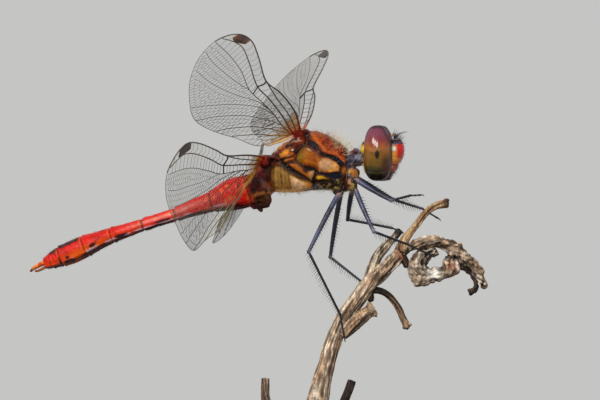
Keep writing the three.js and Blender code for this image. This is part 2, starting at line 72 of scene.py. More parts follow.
# Thorax stations from the waist to the neck: x, top, bottom, half width.
THORAX = np.array([
    [-2.88, 1.16, -2.6, 1.5], [-2.07, 1.75, -2.64, 1.9], [-1.17, 2.3, -2.62, 2.15],
    [-0.36, 2.72, -2.54, 2.3], [0.45, 2.84, -2.42, 2.35], [1.62, 2.48, -2.4, 2.2],
    [2.7, 1.87, -2.4, 1.85], [3.35, 1.4, -1.95, 1.45], [3.75, 0.95, -1.2, 0.95],
])
COXAE = {"front": (4.05, 0.72, -0.95), "middle": (3.85, 0.75, -1.85), "hind": (2.75, 0.75, -2.3)}
LEGS = {
    "front_right": [(4.25, -0.75, -1.4), (7.68, -2.0, -3.35), (9.3, -1.0, -2.9), (10.2, -0.47, -2.86)],
    "front_left": [(4.25, 0.8, -1.3), (7.33, 2.78, -3.26), (10.07, 2.03, -4.09), (11.45, 2.22, -4.95)],
    "middle_right": [(4.25, -0.65, -2.15), (6.18, -2.41, -6.1), (9.02, -0.43, -7.26), (11.08, 0.4, -8.26)],
    "middle_left": [(3.95, 0.85, -2.15), (3.24, 2.65, -5.06), (7.35, 1.77, -5.81), (8.21, 1.38, -6.13)],
    "hind_right": [(2.95, -0.85, -2.6), (0.5, -3.36, -7.88), (3.0, -0.82, -13.51), (3.34, -0.47, -15.6)],
    "hind_left": [(2.9, 0.7, -2.6), (1.67, 2.64, -8.42), (4.57, 1.61, -10.57), (5.04, 1.47, -11.36)],
}
EYE_AT = np.array([6.45, 1.38, 0.86])
EYE_SIZE = np.array([1.26, 1.62, 2.5])
EYE_LEAN = math.radians(9)
EYE_FULLNESS = 2.8
EYE_CORNER = 1.9
EYE_GAP = 0.025
EYE_FACET = 0.055

FOREWING = {
    "root": (-0.57, 1.3, 2.85), "sweep": 3.4, "dihedral": 17.8, "droop": 26.6, "twist": 8,
}
HINDWING = {
    "root": (-3.74, 1.2, 0.5), "sweep": 8.1, "dihedral": 2.1, "droop": 59.8, "twist": 15,
}
WINGS = {
    "forewing_right": FOREWING,
    "forewing_left": {**FOREWING, "sweep": 1.6, "dihedral": 18.6, "twist": 5},
    "hindwing_right": HINDWING,
    "hindwing_left": {
        **HINDWING, "root": (-4.0, 1.2, 0.46), "sweep": 8.5, "dihedral": 3.5, "droop": 53, "twist": 24,
    },
}
WING_SPAN = 27.5

# ---------------------------------------------------------------- geometry helpers


def unit(vectors):
    vectors = np.asarray(vectors, float)
    return vectors / np.maximum(np.linalg.norm(vectors, axis=-1, keepdims=True), 1e-9)


def mirrored(points, side):
    return np.asarray(points, float) * [1, side, 1]


def to_world(points):
    """From the insect's own frame to the shared one, still in millimetres."""
    points = np.asarray(points, float)
    c, s = math.cos(BODY_YAW), math.sin(BODY_YAW)
    x, y, z = points[..., 0], points[..., 1], points[..., 2]
    return np.stack([c * x - s * y, s * x + c * y, z], -1) + THORAX_AT


def as_is(points):
    return np.asarray(points, float)


def spline(points, share):
    """Points on a smooth curve through the given ones; share runs from 0 to 1 over them."""
    points = np.asarray(points, float)
    at = np.clip(np.asarray(share, float), 0, 1) * (len(points) - 1)
    i = np.minimum(at.astype(int), len(points) - 2)
    f = (at - i)[:, None]
    slope = np.gradient(points, axis=0)
    a, b, m, n = points[i], points[i + 1], slope[i], slope[i + 1]
    return (
        a * (2 * f**3 - 3 * f**2 + 1) + m * (f**3 - 2 * f**2 + f)
        + b * (3 * f**2 - 2 * f**3) + n * (f**3 - f**2)
    )


def travelled(route):
    """How far each point of a route is along it."""
    return np.concatenate([[0], np.cumsum(np.linalg.norm(np.diff(route, axis=0), axis=1))])


def smooth(low, high, value):
    """0 below low, 1 above high, and an even rise between them."""
    t = np.clip((value - low) / (high - low), 0, 1)
    return t * t * (3 - 2 * t)


def near(distance, width):
    return np.exp(-((distance / width) ** 2))


def blob(along, up, width):
    """A round soft spot, from how far points lie from its middle both ways."""
    return near(np.hypot(along, up), width)


def noise(points, size, seed=0):
    """Smooth noise from -1 to 1 with lumps about size across."""
    q = np.asarray(points, float) / size + 13.7 * seed + 0.37
    cell = np.floor(q)
    f = q - cell
    f = f * f * (3 - 2 * f)
    total = np.zeros(q.shape[:-1])
    for corner in np.ndindex(*(2,) * q.shape[-1]):
        weight = np.prod(np.where(np.array(corner) == 1, f, 1 - f), axis=-1)
        mixed = (cell + corner) @ np.array([127.1, 311.7, 74.7])[: q.shape[-1]]
        value = np.sin(mixed + 5.1 * seed) * 43758.5453
        total += weight * (value - np.floor(value))
    return 2 * total - 1


def patches(low, high, points, size, seed):
    """Scattered soft patches about size across; the higher the two levels, the fewer."""
    return smooth(low, high, noise(points, size, seed))


def circle(around):
    return 2 * math.pi * np.arange(around) / around


def squared_circle(around, power):
    """Cosines and sines round a ring of points; a power under 1 makes it squarer."""
    c, s = np.cos(circle(around)), np.sin(circle(around))
    return np.sign(c) * np.abs(c) ** power, np.sign(s) * np.abs(s) ** power


def sweep(route, wide, high=None, rows=40, around=24, ends=(0.0, 0.0), square=1.0):
    """Rings of an oval swept along a smooth route. wide and high are half sizes at its points,
    and ends are the lengths over which each end is rounded off."""
    even = np.linspace(0, 1, rows)
    share = 0.6 * even + 0.4 * (0.5 - 0.5 * np.cos(math.pi * even))
    centre = spline(route, share)
    ahead = unit(np.gradient(centre, axis=0))
    side = unit(ACROSS - ahead * (ahead @ ACROSS)[:, None])
    up = np.cross(ahead, side)
    half = spline(np.stack([wide, wide if high is None else high], -1), share)
    gone = travelled(centre)
    for left, end in ((gone, ends[0]), (gone[-1] - gone, ends[1])):
        if end > 0:
            half = half * np.sqrt(1 - (1 - np.clip(left / end, 0.004, 1)) ** 2)[:, None]
    c, s = squared_circle(around, square)
    across = side[:, None] * (half[:, :1] * c)[..., None]
    rise = up[:, None] * (half[:, 1:] * s)[..., None]
    return centre[:, None] + across + rise


def ring_normals(rings):
    around = np.roll(rings, -1, 1) - np.roll(rings, 1, 1)
    along = np.gradient(rings, axis=0)
    return unit(np.cross(around, along))


def tube(rings):
    """Points and faces of a closed tube through rings of points, with an end point on each end."""
    rows, around = rings.shape[:2]
    points = np.concatenate([rings.reshape(-1, 3), rings[:1].mean(1), rings[-1:].mean(1)])
    i = np.arange((rows - 1) * around)
    after = i - i % around + (i + 1) % around
    quads = np.stack([i, after, after + around, i + around], -1)
    here = np.arange(around)
    then = (here + 1) % around
    top = (rows - 1) * around
    start = np.stack([then, here, np.full(around, rows * around)], -1)
    finish = np.stack([here + top, then + top, np.full(around, rows * around + 1)], -1)
    return points, quads.tolist() + start.tolist() + finish.tolist()


def rod(route, wide, rows, around=24, ends=(0.0, 0.0)):
    """A closed round rod along a smooth route."""
    return tube(sweep(route, wide, rows=rows, around=around, ends=ends))


def oval(at, size, turn=0.0, rows=22, around=28, lean=0.0):
    """A closed oval; turn is about the y axis and lean about the x axis, in degrees."""
    polar = np.linspace(0.02, math.pi - 0.02, rows)
    angle = circle(around)
    z = np.cos(polar)[:, None] * np.ones(around)
    x = np.sin(polar)[:, None] * np.cos(-angle)
    y = np.sin(polar)[:, None] * np.sin(-angle)
    rings = np.stack([x, y, z], -1) * size
    t, l = math.radians(turn), math.radians(lean)
    about_y = np.array([[math.cos(t), 0, math.sin(t)], [0, 1, 0], [-math.sin(t), 0, math.cos(t)]])
    about_x = np.array([[1, 0, 0], [0, math.cos(l), -math.sin(l)], [0, math.sin(l), math.cos(l)]])
    return tube(rings @ (about_x @ about_y).T + np.asarray(at, float))


def ball(at, size):
    """A small oval of fewer faces."""
    return oval(at, size, rows=12, around=14)


def chain_faces(count, stations, corners):
    """Faces of many closed rods, each a row of stations with so many corners."""
    base = (np.arange(count) * stations * corners)[:, None, None]
    row = (np.arange(stations - 1) * corners)[None, :, None]
    k = np.arange(corners)
    here, then = base + row + k, base + row + (k + 1) % corners
    sides = np.stack([here, then, then + corners, here + corners], -1).reshape(-1, 4)
    foot = base[:, 0] + k[::-1]
    tip = base[:, 0] + (stations - 1) * corners + k
    return sides.tolist() + foot.tolist() + tip.tolist()


def join(parts):
    points, faces, start = [], [], 0
    for some_points, some_faces in parts:
        points.append(some_points)
        faces += [[start + corner for corner in face] for face in some_faces]
        start += len(some_points)
    return np.concatenate(points), faces


def add_object(name, data):
    made = bpy.data.objects.new(name, data)
    bpy.context.scene.collection.objects.link(made)
    return made


def read_numbers(rows, key, width, kind):
    """One number or vector from each row of a mesh."""
    held = np.zeros(len(rows) * width, kind)
    rows.foreach_get(key, held)
    return held


def fuse(parts, voxel, relax=3):
    """One continuous closed skin round overlapping closed parts: its points, faces and normals."""
    points, faces = join(parts)
    mesh = bpy.data.meshes.new("fusing")
    mesh.from_pydata(points.tolist(), [], faces)
    thing = add_object("fusing", mesh)
    remesh = thing.modifiers.new("remesh", "REMESH")
    remesh.mode = "VOXEL"
    remesh.voxel_size = voxel
    relaxing = thing.modifiers.new("relax", "SMOOTH")
    relaxing.iterations = relax
    held = bpy.data.meshes.new_from_object(thing.evaluated_get(bpy.context.evaluated_depsgraph_get()))
    fused = read_numbers(held.vertices, "co", 3, np.float32).reshape(-1, 3)
    normals = read_numbers(held.vertex_normals, "vector", 3, np.float32).reshape(-1, 3)
    corners = read_numbers(held.loops, "vertex_index", 1, np.int32).reshape(-1, 4)
    bpy.data.objects.remove(thing)
    bpy.data.meshes.remove(mesh)
    bpy.data.meshes.remove(held)
    return fused.astype(float), corners, normals.astype(float)


def line_distance(flat, line):
    """Distance in a plane from each point to a line of straight stretches."""
    line = np.asarray(line, float)
    best = np.full(len(flat), np.inf)
    for a, b in zip(line[:-1], line[1:]):
        along = b - a
        t = np.clip((flat - a) @ along / max(along @ along, 1e-9), 0, 1)
        best = np.minimum(best, np.linalg.norm(flat - a - t[:, None] * along, axis=1))
    return best


def in_line(flat, line):
    """How far inside a line of varying half width each point lies, negative outside."""
    line = np.asarray(line, float)
    best = np.full(len(flat), -np.inf)
    for a, b in zip(line[:-1], line[1:]):
        along = b[:2] - a[:2]
        t = np.clip((flat - a[:2]) @ along / (along @ along), 0, 1)
        away = np.linalg.norm(flat - a[:2] - t[:, None] * along, axis=1)
        best = np.maximum(best, a[2] + (b[2] - a[2]) * t - away)
    return best


def inside(flat, outline):
    """Distance from the edge of an outline, negative outside it."""
    outline = np.asarray(outline, float)
    x, y = flat[:, 0], flat[:, 1]
    odd = np.zeros(len(flat), bool)
    for (ax, ay), (bx, by) in zip(outline, np.roll(outline, -1, 0)):
        crosses = (ay > y) != (by > y)
        odd ^= crosses & (x < (bx - ax) * (y - ay) / (by - ay if by != ay else 1e-9) + ax)
    distance = line_distance(flat, np.concatenate([outline, outline[:1]]))
    return np.where(odd, distance, -distance)


def region(flat, outline, soft):
    """1 inside an outline, 0 outside, with an edge about soft wide."""
    return smooth(-soft, soft, inside(flat, outline))


# ---------------------------------------------------------------- colours and finishes


def colour(text):
    """Linear colour from the usual #rrggbb."""
    value = np.array([int(text[i:i + 2], 16) for i in (1, 3, 5)]) / 255
    return np.where(value <= 0.04045, value / 12.92, ((value + 0.055) / 1.055) ** 2.4)


def plain(text, count):
    return np.tile(colour(text), (count, 1))


def layered(tint, *coats):
    """tint, with coats laid over it in turn, each a colour and how much of it there is."""
    for text, weight in coats:
        weight = np.clip(weight, 0, 1)[:, None]
        tint = tint * (1 - weight) + colour(text) * weight
    return tint


class Finish:
    """A procedural material: colours from a piece's tint, varied and textured by nodes."""

    def __init__(self, name, roughness, flat_colour=None, **numbers):
        self.material = bpy.data.materials.new(name)
        self.material.use_nodes = True
        self.tree = self.material.node_tree
        self.shader = next(n for n in self.tree.nodes if n.type == "BSDF_PRINCIPLED")
        self.shader.inputs["Roughness"].default_value = roughness
        for socket, number in numbers.items():
            self.shader.inputs[socket.replace("_", " ")].default_value = number
        self.place = self.node("TexCoord").outputs["Object"]
        if flat_colour:
            self.hue = self.node("RGB").outputs[0]
            self.hue.default_value = (*colour(flat_colour), 1)
        else:
            held = self.node("Attribute")
            held.attribute_name = "tint"
            self.hue, self.alpha = held.outputs["Color"], held.outputs["Alpha"]
        self.link(self.hue, self.shader.inputs["Base Color"])

    def node(self, kind, **sockets):
        made = self.tree.nodes.new("ShaderNode" + kind)
        for key, value in sockets.items():
            made.inputs[key].default_value = value
        return made

    def link(self, source, target):
        self.tree.links.new(source, target)

    def pattern(self, kind, size, stretch=(1, 1, 1)):
        """A texture whose features are about size millimetres across."""
        made = self.node(kind, Scale=1 / (size * MM))
        moved = self.node("Mapping", Scale=stretch)
        self.link(self.place, moved.inputs["Vector"])
        self.link(moved.outputs["Vector"], made.inputs["Vector"])
        return made

    def clouds(self, size, stretch=(1, 1, 1)):
        return self.pattern("TexNoise", size, stretch).outputs[0]

    def cells(self, size):
        return self.pattern("TexVoronoi", size).outputs["Distance"]

    def ranged(self, source, low, high):
        """A pattern's middle range, stretched to run from low to high."""
        made = self.node("MapRange", **{"From Min": 0.3, "From Max": 0.7, "To Min": low, "To Max": high})
        self.link(source, made.inputs["Value"])
        return made.outputs["Result"]

    def varied(self, source, dark, light):
        """Darkens and lightens the colour by a pattern."""
        made = self.node("Mix")
        made.data_type = "RGBA"
        made.blend_type = "MULTIPLY"
        made.inputs["Factor"].default_value = 1
        grey = self.node("CombineColor")
        value = self.ranged(source, dark, light)
        for channel in range(3):
            self.link(value, grey.inputs[channel])
        self.link(self.hue, made.inputs["A"])
        self.link(grey.outputs[0], made.inputs["B"])
        self.hue = made.outputs["Result"]
        self.link(self.hue, self.shader.inputs["Base Color"])

    def roughened(self, source, low, high):
        self.link(self.ranged(source, low, high), self.shader.inputs["Roughness"])

    def bumped(self, source, height):
        """Raises the surface by a pattern, height millimetres from low to high."""
        made = self.node("Bump", Distance=height * MM)
        before = self.shader.inputs["Normal"].links
        if before:
            self.link(before[0].from_socket, made.inputs["Normal"])
        self.link(source, made.inputs["Height"])
        self.link(made.outputs["Normal"], self.shader.inputs["Normal"])


def red_cuticle():
    made = Finish("red_cuticle", 0.36, Specular_IOR_Level=0.16)
    made.varied(made.clouds(0.5), 0.82, 1.15)
    made.varied(made.clouds(0.12), 0.8, 1.12)
    made.roughened(made.clouds(0.3), 0.24, 0.5)
    made.bumped(made.clouds(0.25), 0.04)
    made.bumped(made.cells(0.1), 0.02)
    return made.material


def eye_lens():
    made = Finish("compound_eye", 0.22, Coat_Roughness=0.08, Coat_IOR=1.5, Specular_IOR_Level=0.12)
    made.link(made.alpha, made.shader.inputs["Coat Weight"])
    made.varied(made.clouds(0.4), 0.88, 1.1)
    made.varied(made.cells(EYE_FACET), 0.85, 1.08)
    made.bumped(made.cells(EYE_FACET), 0.004)
    return made.material


def black_cuticle():
    made = Finish("black_cuticle", 0.3, Specular_IOR_Level=0.45)
    made.varied(made.clouds(0.35), 0.7, 1.25)
    made.roughened(made.clouds(0.2), 0.26, 0.45)
    made.bumped(made.clouds(0.1), 0.012)
    return made.material


def face_cuticle():
    made = Finish("face_cuticle", 0.33, Specular_IOR_Level=0.3)
    made.varied(made.clouds(0.3), 0.85, 1.12)
    made.roughened(made.clouds(0.18), 0.25, 0.42)
    made.bumped(made.clouds(0.09), 0.014)
    return made.material


def wing_membrane():
    made = Finish("wing_membrane", 0.2, Specular_IOR_Level=0.4)
    made.varied(made.clouds(1.6), 0.85, 1.1)
    made.bumped(made.clouds(0.5), 0.02)
    made.link(made.alpha, made.shader.inputs["Alpha"])
    return made.material


def wing_vein():
    made = Finish("wing_vein", 0.4)
    made.varied(made.clouds(0.3), 0.75, 1.15)
    made.bumped(made.clouds(0.08), 0.008)
    return made.material


def fine_hair():
    made = Finish("fine_hair", 0.5)
    made.varied(made.clouds(0.25), 0.8, 1.15)
    return made.material


def dry_plant(name, fibre):
    made = Finish(name, 0.75, Specular_IOR_Level=0.3)
    made.varied(made.clouds(0.55), 0.6, 1.3)
    made.varied(made.clouds(0.2, fibre), 0.45, 1.45)
    made.varied(made.clouds(0.12), 0.65, 1.2)
    made.bumped(made.clouds(0.16, fibre), 0.09)
    made.bumped(made.clouds(0.06), 0.015)
    return made.material


def turned_wood():
    made = Finish("stand_wood", 0.35, "#4a2f1e", Coat_Weight=0.3, Coat_Roughness=0.2)
    made.varied(made.clouds(9, (0.15, 1, 1)), 0.6, 1.3)
    made.varied(made.clouds(0.9, (0.06, 1, 1)), 0.75, 1.15)
    made.roughened(made.clouds(2, (0.1, 1, 1)), 0.3, 0.45)
    made.bumped(made.clouds(0.6, (0.05, 1, 1)), 0.03)
    return made.material


def brushed_brass():
    made = Finish("stand_brass", 0.28, "#b08d4a", Metallic=1.0)
    made.varied(made.clouds(1.2), 0.85, 1.1)
    made.roughened(made.clouds(0.12, (1, 1, 0.05)), 0.2, 0.4)
    made.bumped(made.clouds(0.1, (1, 1, 0.05)), 0.01)
    return made.material


FINISHES = {
    "red_cuticle": red_cuticle(),
    "compound_eye": eye_lens(),
    "black_cuticle": black_cuticle(),
    "face_cuticle": face_cuticle(),
    "wing_membrane": wing_membrane(),
    "wing_vein": wing_vein(),
    "fine_hair": fine_hair(),
    "dry_stem": dry_plant("dry_stem", (1, 1, 0.16)),
    "dry_leaf": dry_plant("dry_leaf", (0.4, 1, 0.4)),
    "stand_wood": turned_wood(),
    "stand_brass": brushed_brass(),
}


def piece(name, points, faces, tint, slot, nodes, place=to_world, chart=None):
    """A finished piece that stands for nodes of the solids. chart gives the bake map's place of
    each point."""
    mesh = bpy.data.meshes.new(name)
    face_rows = faces.tolist() if isinstance(faces, np.ndarray) else faces
    mesh.from_pydata((place(points) * MM).tolist(), [], face_rows)
    mesh.shade_smooth()
    if tint is not None:
        if tint.shape[1] == 3:
            tint = np.concatenate([tint, np.ones((len(tint), 1))], 1)
        held = mesh.color_attributes.new("tint", "FLOAT_COLOR", "POINT")
        held.data.foreach_set("color", tint.astype(np.float32).ravel())
    if chart is not None:
        corners = read_numbers(mesh.loops, "vertex_index", 1, np.int32)
        baked = mesh.uv_layers.new(name="OFBake")
        baked.uv.foreach_set("vector", chart[corners].astype(np.float32).ravel())
    mesh.materials.append(FINISHES[slot])
    made = add_object(name, mesh)
    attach(made, "root")
    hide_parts(*nodes)


# ---------------------------------------------------------------- trunk: thorax, neck and abdomen

BODY_VOXEL = 0.062
ABDOMEN_LINE = spline(ABDOMEN, np.linspace(0, 1, 1200))
# Sections as x and z of the top, x and z of the bottom, half width and squareness.
WAIST_SECTIONS = [
    [-5.15, -0.95, -4.85, -3.8, 1.42, 1.0], [-4.45, -0.5, -4.0, -3.3, 1.42, 1.0],
    [-3.8, 0.2, -3.4, -2.95, 1.33, 1.0], [-3.3, 0.7, -3.05, -2.62, 1.28, 0.95],
]
NECK_SECTIONS = [
    [4.2, 1.25, 4.2, -0.5, 0.92, 1.0], [4.75, 1.12, 4.75, -0.08, 0.6, 1.0],
    [5.3, 1.0, 5.3, 0.18, 0.42, 1.0],
]


def abdomen_place(points):
    """Where points lie on the abdomen: station number, then height and width as shares of its
    half sizes."""
    flat = points[:, [0, 2]]
    line = ABDOMEN_LINE[:, :2]
    closest = np.zeros(len(flat), int)
    batch = 4000
    for start in range(0, len(flat), batch):
        some = flat[start:start + batch]
        gaps = ((some[:, None] - line[None]) ** 2).sum(-1)
        closest[start:start + batch] = gaps.argmin(1)
    ahead = unit(np.gradient(line, axis=0))[closest]
    offset = flat - line[closest]
    along = (offset * ahead).sum(1)
    step = np.linalg.norm(np.gradient(line, axis=0), axis=1)[closest]
    station = (closest + along / step) / (len(line) - 1) * (len(ABDOMEN) - 1)
    rise = offset[:, 1] * -ahead[:, 0] + offset[:, 0] * ahead[:, 1]
    half = ABDOMEN_LINE[closest][:, 2:]
    return station, rise / half[:, 1], points[:, 1] / half[:, 0]


def trunk_rings(rows=230, around=96):
    """Rings from the tail to the neck."""
    tail = []
    ahead = unit(np.gradient(ABDOMEN[:, :2], axis=0))
    for (x, z, wide, high), (ax, az) in zip(ABDOMEN[:2:-1], ahead[:2:-1]):
        tail.append([x + az * high, z - ax * high, x - az * high, z + ax * high, wide, 1.0])
    chest = [[x, top, x, bottom, half, 0.85] for x, top, bottom, half in THORAX]
    sections = np.array(tail + WAIST_SECTIONS + chest + NECK_SECTIONS)
    gone = travelled((sections[:, :2] + sections[:, 2:4]) / 2)
    share = np.interp(np.linspace(0, gone[-1], rows), gone, np.linspace(0, 1, len(gone)))
    shaped = spline(sections, share)
    middle = (shaped[:, :2] + shaped[:, 2:4]) / 2
    rise = (shaped[:, :2] - shaped[:, 2:4]) / 2
    c, s = squared_circle(around, shaped[:, 5:6])
    x = middle[:, :1] + rise[:, :1] * s
    z = middle[:, 1:] + rise[:, 1:] * s
    return np.stack([x, shaped[:, 4:5] * c, z], -1)


def trunk_lumps():
    """Hips, wing roots, collar lobes, belly keel and the male's second-segment lobe."""
    lumps = []
    for side, ending in ((-1, "_right"), (1, "_left")):
        for name, at in COXAE.items():
            lumps.append(oval(mirrored(at, side), (0.52, 0.5, 0.62)))
            hip = np.array(LEGS[name + ending][0], float)
            low = np.array([at[0] + 0.1, side * at[1], at[2] - 0.3])
            lumps.append(rod([low, (low + hip) / 2, hip], [0.4, 0.34, 0.24], 16, ends=(0.1, 0.15)))
        for wing in (FOREWING, HINDWING):
            x, y, z = wing["root"]
            lumps.append(oval(mirrored((x, y - 0.3, z - 0.4), side), (0.72, 0.55, 0.62)))
            lumps.append(oval(mirrored((x + 0.45, y, z - 0.12), side), (0.3, 0.3, 0.24)))
            lumps.append(oval(mirrored((x - 0.4, y + 0.02, z - 0.2), side), (0.34, 0.3, 0.24)))
        ear_and_collar = (
            ((-4.35, 1.28, -1.75), (0.45, 0.22, 0.55), -30), ((4.35, 0.5, 1.0), (0.28, 0.42, 0.36), 0),
            ((3.9, 0.8, 0.2), (0.42, 0.35, 0.6), 0), ((4.6, 0.42, 0.1), (0.4, 0.3, 0.42), 0),
        )
        lumps += [oval(mirrored(at, side), size, turn) for at, size, turn in ear_and_collar]
    lumps.append(oval((-4.05, 0, -3.3), (0.8, 0.55, 0.72)))
    lumps.append(oval((-4.75, 0, -3.75), (0.5, 0.5, 0.42)))
    hooks = (
        ([(-4.2, 0, -3.5), (-4.35, 0, -4.0), (-4.1, 0, -4.3)], [0.26, 0.2, 0.1]),
        ([(-3.7, 0, -3.3), (-3.6, 0, -3.75), (-3.72, 0, -3.95)], [0.24, 0.18, 0.1]),
    )
    lumps += [rod(route, wide, 16, ends=(0, 0.1)) for route, wide in hooks]
    lumps.append(oval((3.2, 0, -2.1), (0.9, 0.75, 0.5)))
    return lumps


# Marks of the flank in side view, x and z in the insect's frame. These are lines, with the half
# width at each place.
HUMERAL = [
    (0.45, 1.8, 0.17), (0.95, 1.52, 0.22), (1.13, 1.22, 0.09), (1.4, 0.88, 0.035), (1.68, 0.72, 0.08),
    (2.3, 0.5, 0.17), (2.85, 0.24, 0.2), (3.2, -0.1, 0.19), (3.42, -0.42, 0.08),
]
FORK = [
    (0.96, -0.66, 0.06), (1.06, -0.94, 0.07), (0.82, -1.2, 0.06), (0.7, -1.45, 0.07), (0.7, -1.8, 0.09),
    (0.92, -2.2, 0.1),
]
UNDER_YELLOW = [(0.8, -1.69, 0.05), (1.3, -1.66, 0.06), (2.1, -1.6, 0.06), (2.46, -1.8, 0.1)]
PLATE_EDGE = [
    (0.02, -0.41, 0.06), (-0.57, -0.02, 0.025), (-0.86, 0.3, 0.03), (-0.75, 0.8, 0.045),
    (-0.5, 1.2, 0.05), (-0.15, 1.62, 0.06),
]
METAPLEURAL = [
    (-2.3, 0.3, 0.05), (-1.95, -0.1, 0.13), (-1.55, -0.38, 0.2), (-1.1, -0.68, 0.17), (-0.55, -1.0, 0.12),
    (-0.2, -1.17, 0.07), (0.25, -1.45, 0.05), (0.63, -1.72, 0.06), (0.78, -2.0, 0.05), (0.62, -2.36, 0.07),
    (0.0, -2.52, 0.05),
]
WAIST_EDGE = [
    (-3.05, 0.25, 0.1), (-3.36, -0.5, 0.1), (-3.42, -1.1, 0.12), (-3.34, -1.7, 0.07), (-3.05, -2.3, 0.05),
]
WING_LINE = [
    (-2.95, 0.25, 0.1), (-2.36, 0.1, 0.12), (-1.81, 0.45, 0.05), (-1.1, 0.55, 0.06), (-0.8, 0.9, 0.05),
]
# A painted glint on the upper part of the big plate.
PAINTED_GLINT = [(0.22, 1.27, 0), (0.42, 1.15, 0.035), (0.62, 1.0, 0)]
SHOULDER_DIP = [(0.5, 1.3, 0), (1.0, 0.5, 0), (1.05, -0.3, 0)]
# A painted highlight: a light orange line down the front of the back.
UPPER_HIGHLIGHT = [(0.5, 2.55, 0), (1.0, 2.0, 0), (1.7, 1.25, 0)]
LOWER_RIM = [(1.7, 1.05, 0), (2.7, 0.85, 0), (3.3, 0.2, 0)]
PALE_RIM = [(2.75, -0.1, 0), (2.85, -0.5, 0), (2.2, -0.7, 0)]
# The black sutures: line, colour and strength.
SUTURES = (
    (PLATE_EDGE, "#2a140a", 0.85), (WING_LINE, "#140a08", 0.9), (METAPLEURAL, "#120c0a", 0.96),
    (FORK, "#14101a", 0.95), (UNDER_YELLOW, "#140f0c", 0.9), (WAIST_EDGE, "#0e0808", 0.92),
    (HUMERAL, "#0c1020", 0.97),
)
# These are outlines.
STIGMA = [(-0.04, -0.34), (0.39, -0.34), (0.87, -0.47), (0.93, -0.68), (0.46, -0.75), (0.05, -0.61)]
BLUE_PATCH = [
    (1.15, -0.79), (1.63, -0.95), (2.18, -1.04), (2.66, -0.86), (3.18, -0.92), (3.23, -1.28),
    (2.94, -1.5), (2.53, -1.43), (2.11, -1.29), (1.7, -1.11), (1.25, -0.97),
]
YELLOW_PATCH = [
    (0.93, -1.31), (1.08, -1.09), (1.56, -1.13), (2.18, -1.42), (2.11, -1.55), (1.63, -1.46),
    (1.08, -1.52),
]
DORSAL_BAND = [
    (0.22, 2.75), (0.84, 2.9), (1.81, 2.55), (2.7, 2.1), (3.29, 1.45), (3.5, 0.77), (3.6, 0.0),
    (3.3, 0.1), (2.84, 0.6), (1.81, 0.91), (1.22, 1.32), (0.91, 1.85), (0.43, 2.1), (0.22, 2.34),
]
BIG_PLATE = [
    (-0.82, 0.29), (-0.57, 0.91), (-0.06, 1.49), (0.32, 1.45), (0.87, 1.18), (1.42, 0.7), (2.18, 0.46),
    (2.66, 0.09), (3.04, -0.32), (2.97, -0.7), (2.46, -0.79), (1.77, -0.83), (1.22, -0.72),
    (0.87, -0.46), (0.39, -0.31), (-0.09, -0.29), (-0.57, 0.02),
]
PALE_PATCH = [
    (1.11, 0.02), (1.56, 0.46), (2.18, 0.48), (2.66, 0.09), (3.04, -0.32), (2.97, -0.7), (2.46, -0.79),
    (1.77, -0.83), (1.22, -0.7),
]
MIDDLE_PLATE = [
    (-1.75, 0.02), (-0.85, 0.09), (-0.16, -0.31), (0.11, -0.73), (0.8, -0.73), (0.77, -1.14),
    (0.53, -1.55), (0.25, -1.42), (-0.3, -1.13), (-0.85, -0.77), (-1.54, -0.36),
]
REAR_PLATE = [
    (-3.32, -1.14), (-3.14, -0.49), (-2.71, -0.19), (-2.09, -0.22), (-1.75, -0.6), (-1.13, -0.97),
    (-0.44, -1.33), (0.25, -1.62), (0.61, -1.89), (0.53, -2.18), (0.11, -2.45), (-0.71, -2.7),
    (-1.68, -2.75), (-2.37, -2.65), (-2.92, -2.34), (-3.3, -1.83),
]
LOWER_STRIP = [(0.9, -1.8), (1.9, -1.68), (2.6, -1.45), (3.4, -1.5), (3.4, -2.6), (1.0, -2.6)]
WING_ZONE = [
    (-3.5, -0.1), (-3.43, 0.5), (-2.81, 1.4), (-2.19, 2.2), (-1.5, 2.9), (-0.67, 3.4), (0.2, 3.3),
    (0.3, 2.48), (0.1, 1.85), (-0.26, 1.6), (-0.75, 1.1), (-0.95, 0.35), (-1.78, 0.1), (-2.19, -0.1),
    (-2.81, -0.05), (-3.29, -0.3),
]
NECK_DARK = [(3.3, 1.75), (4.0, 1.4), (4.3, 0.9), (4.3, -0.3), (3.75, -0.4), (3.6, 0.6)]
# Upright dark stripes of the rear plate: x.
STRIPES = (-2.88, -2.5, -2.19, -1.83, -1.47)
# Blotches of the abdomen's sides: station, height, half length and half height.
BLOTCHES = (
    (6.42, -0.32, 0.25, 0.2), (8.35, -0.42, 0.5, 0.2), (10.25, -0.2, 0.3, 0.2),
    (12.35, -0.3, 0.16, 0.13), (12.3, -0.72, 0.45, 0.2), (13.1, -0.45, 0.12, 0.35),
)


def abdomen_relief(points, station, high, wide):
    """Rings at the joints, a keel along the back, and grooves along the belly."""
    side = np.abs(wide)
    relief = np.zeros(len(points))
    for end in SEGMENT_ENDS[:-1]:
        relief -= 0.075 * near(station - end - 0.03, 0.045)
        relief += 0.05 * np.where(station < end, near(station - end + 0.12, 0.14), 0)
    relief += 0.05 * near(wide, 0.07) * smooth(0.3, 0.8, high) * smooth(1.5, 3, station)
    relief += 0.05 * near(high + 0.52, 0.1) * smooth(0.5, 0.8, side)
    relief -= 0.08 * near(side - 0.34, 0.07) * smooth(-0.75, -0.9, high)
    for mid in (1.45, 2.75, 4.7):
        relief += 0.03 * near(station - mid, 0.05) * smooth(-0.5, 0, high)
    waist = smooth(2.3, 1.9, station)
    return relief + (0.07 * noise(points, 0.42, 7) + 0.03 * noise(points, 0.2, 8)) * waist


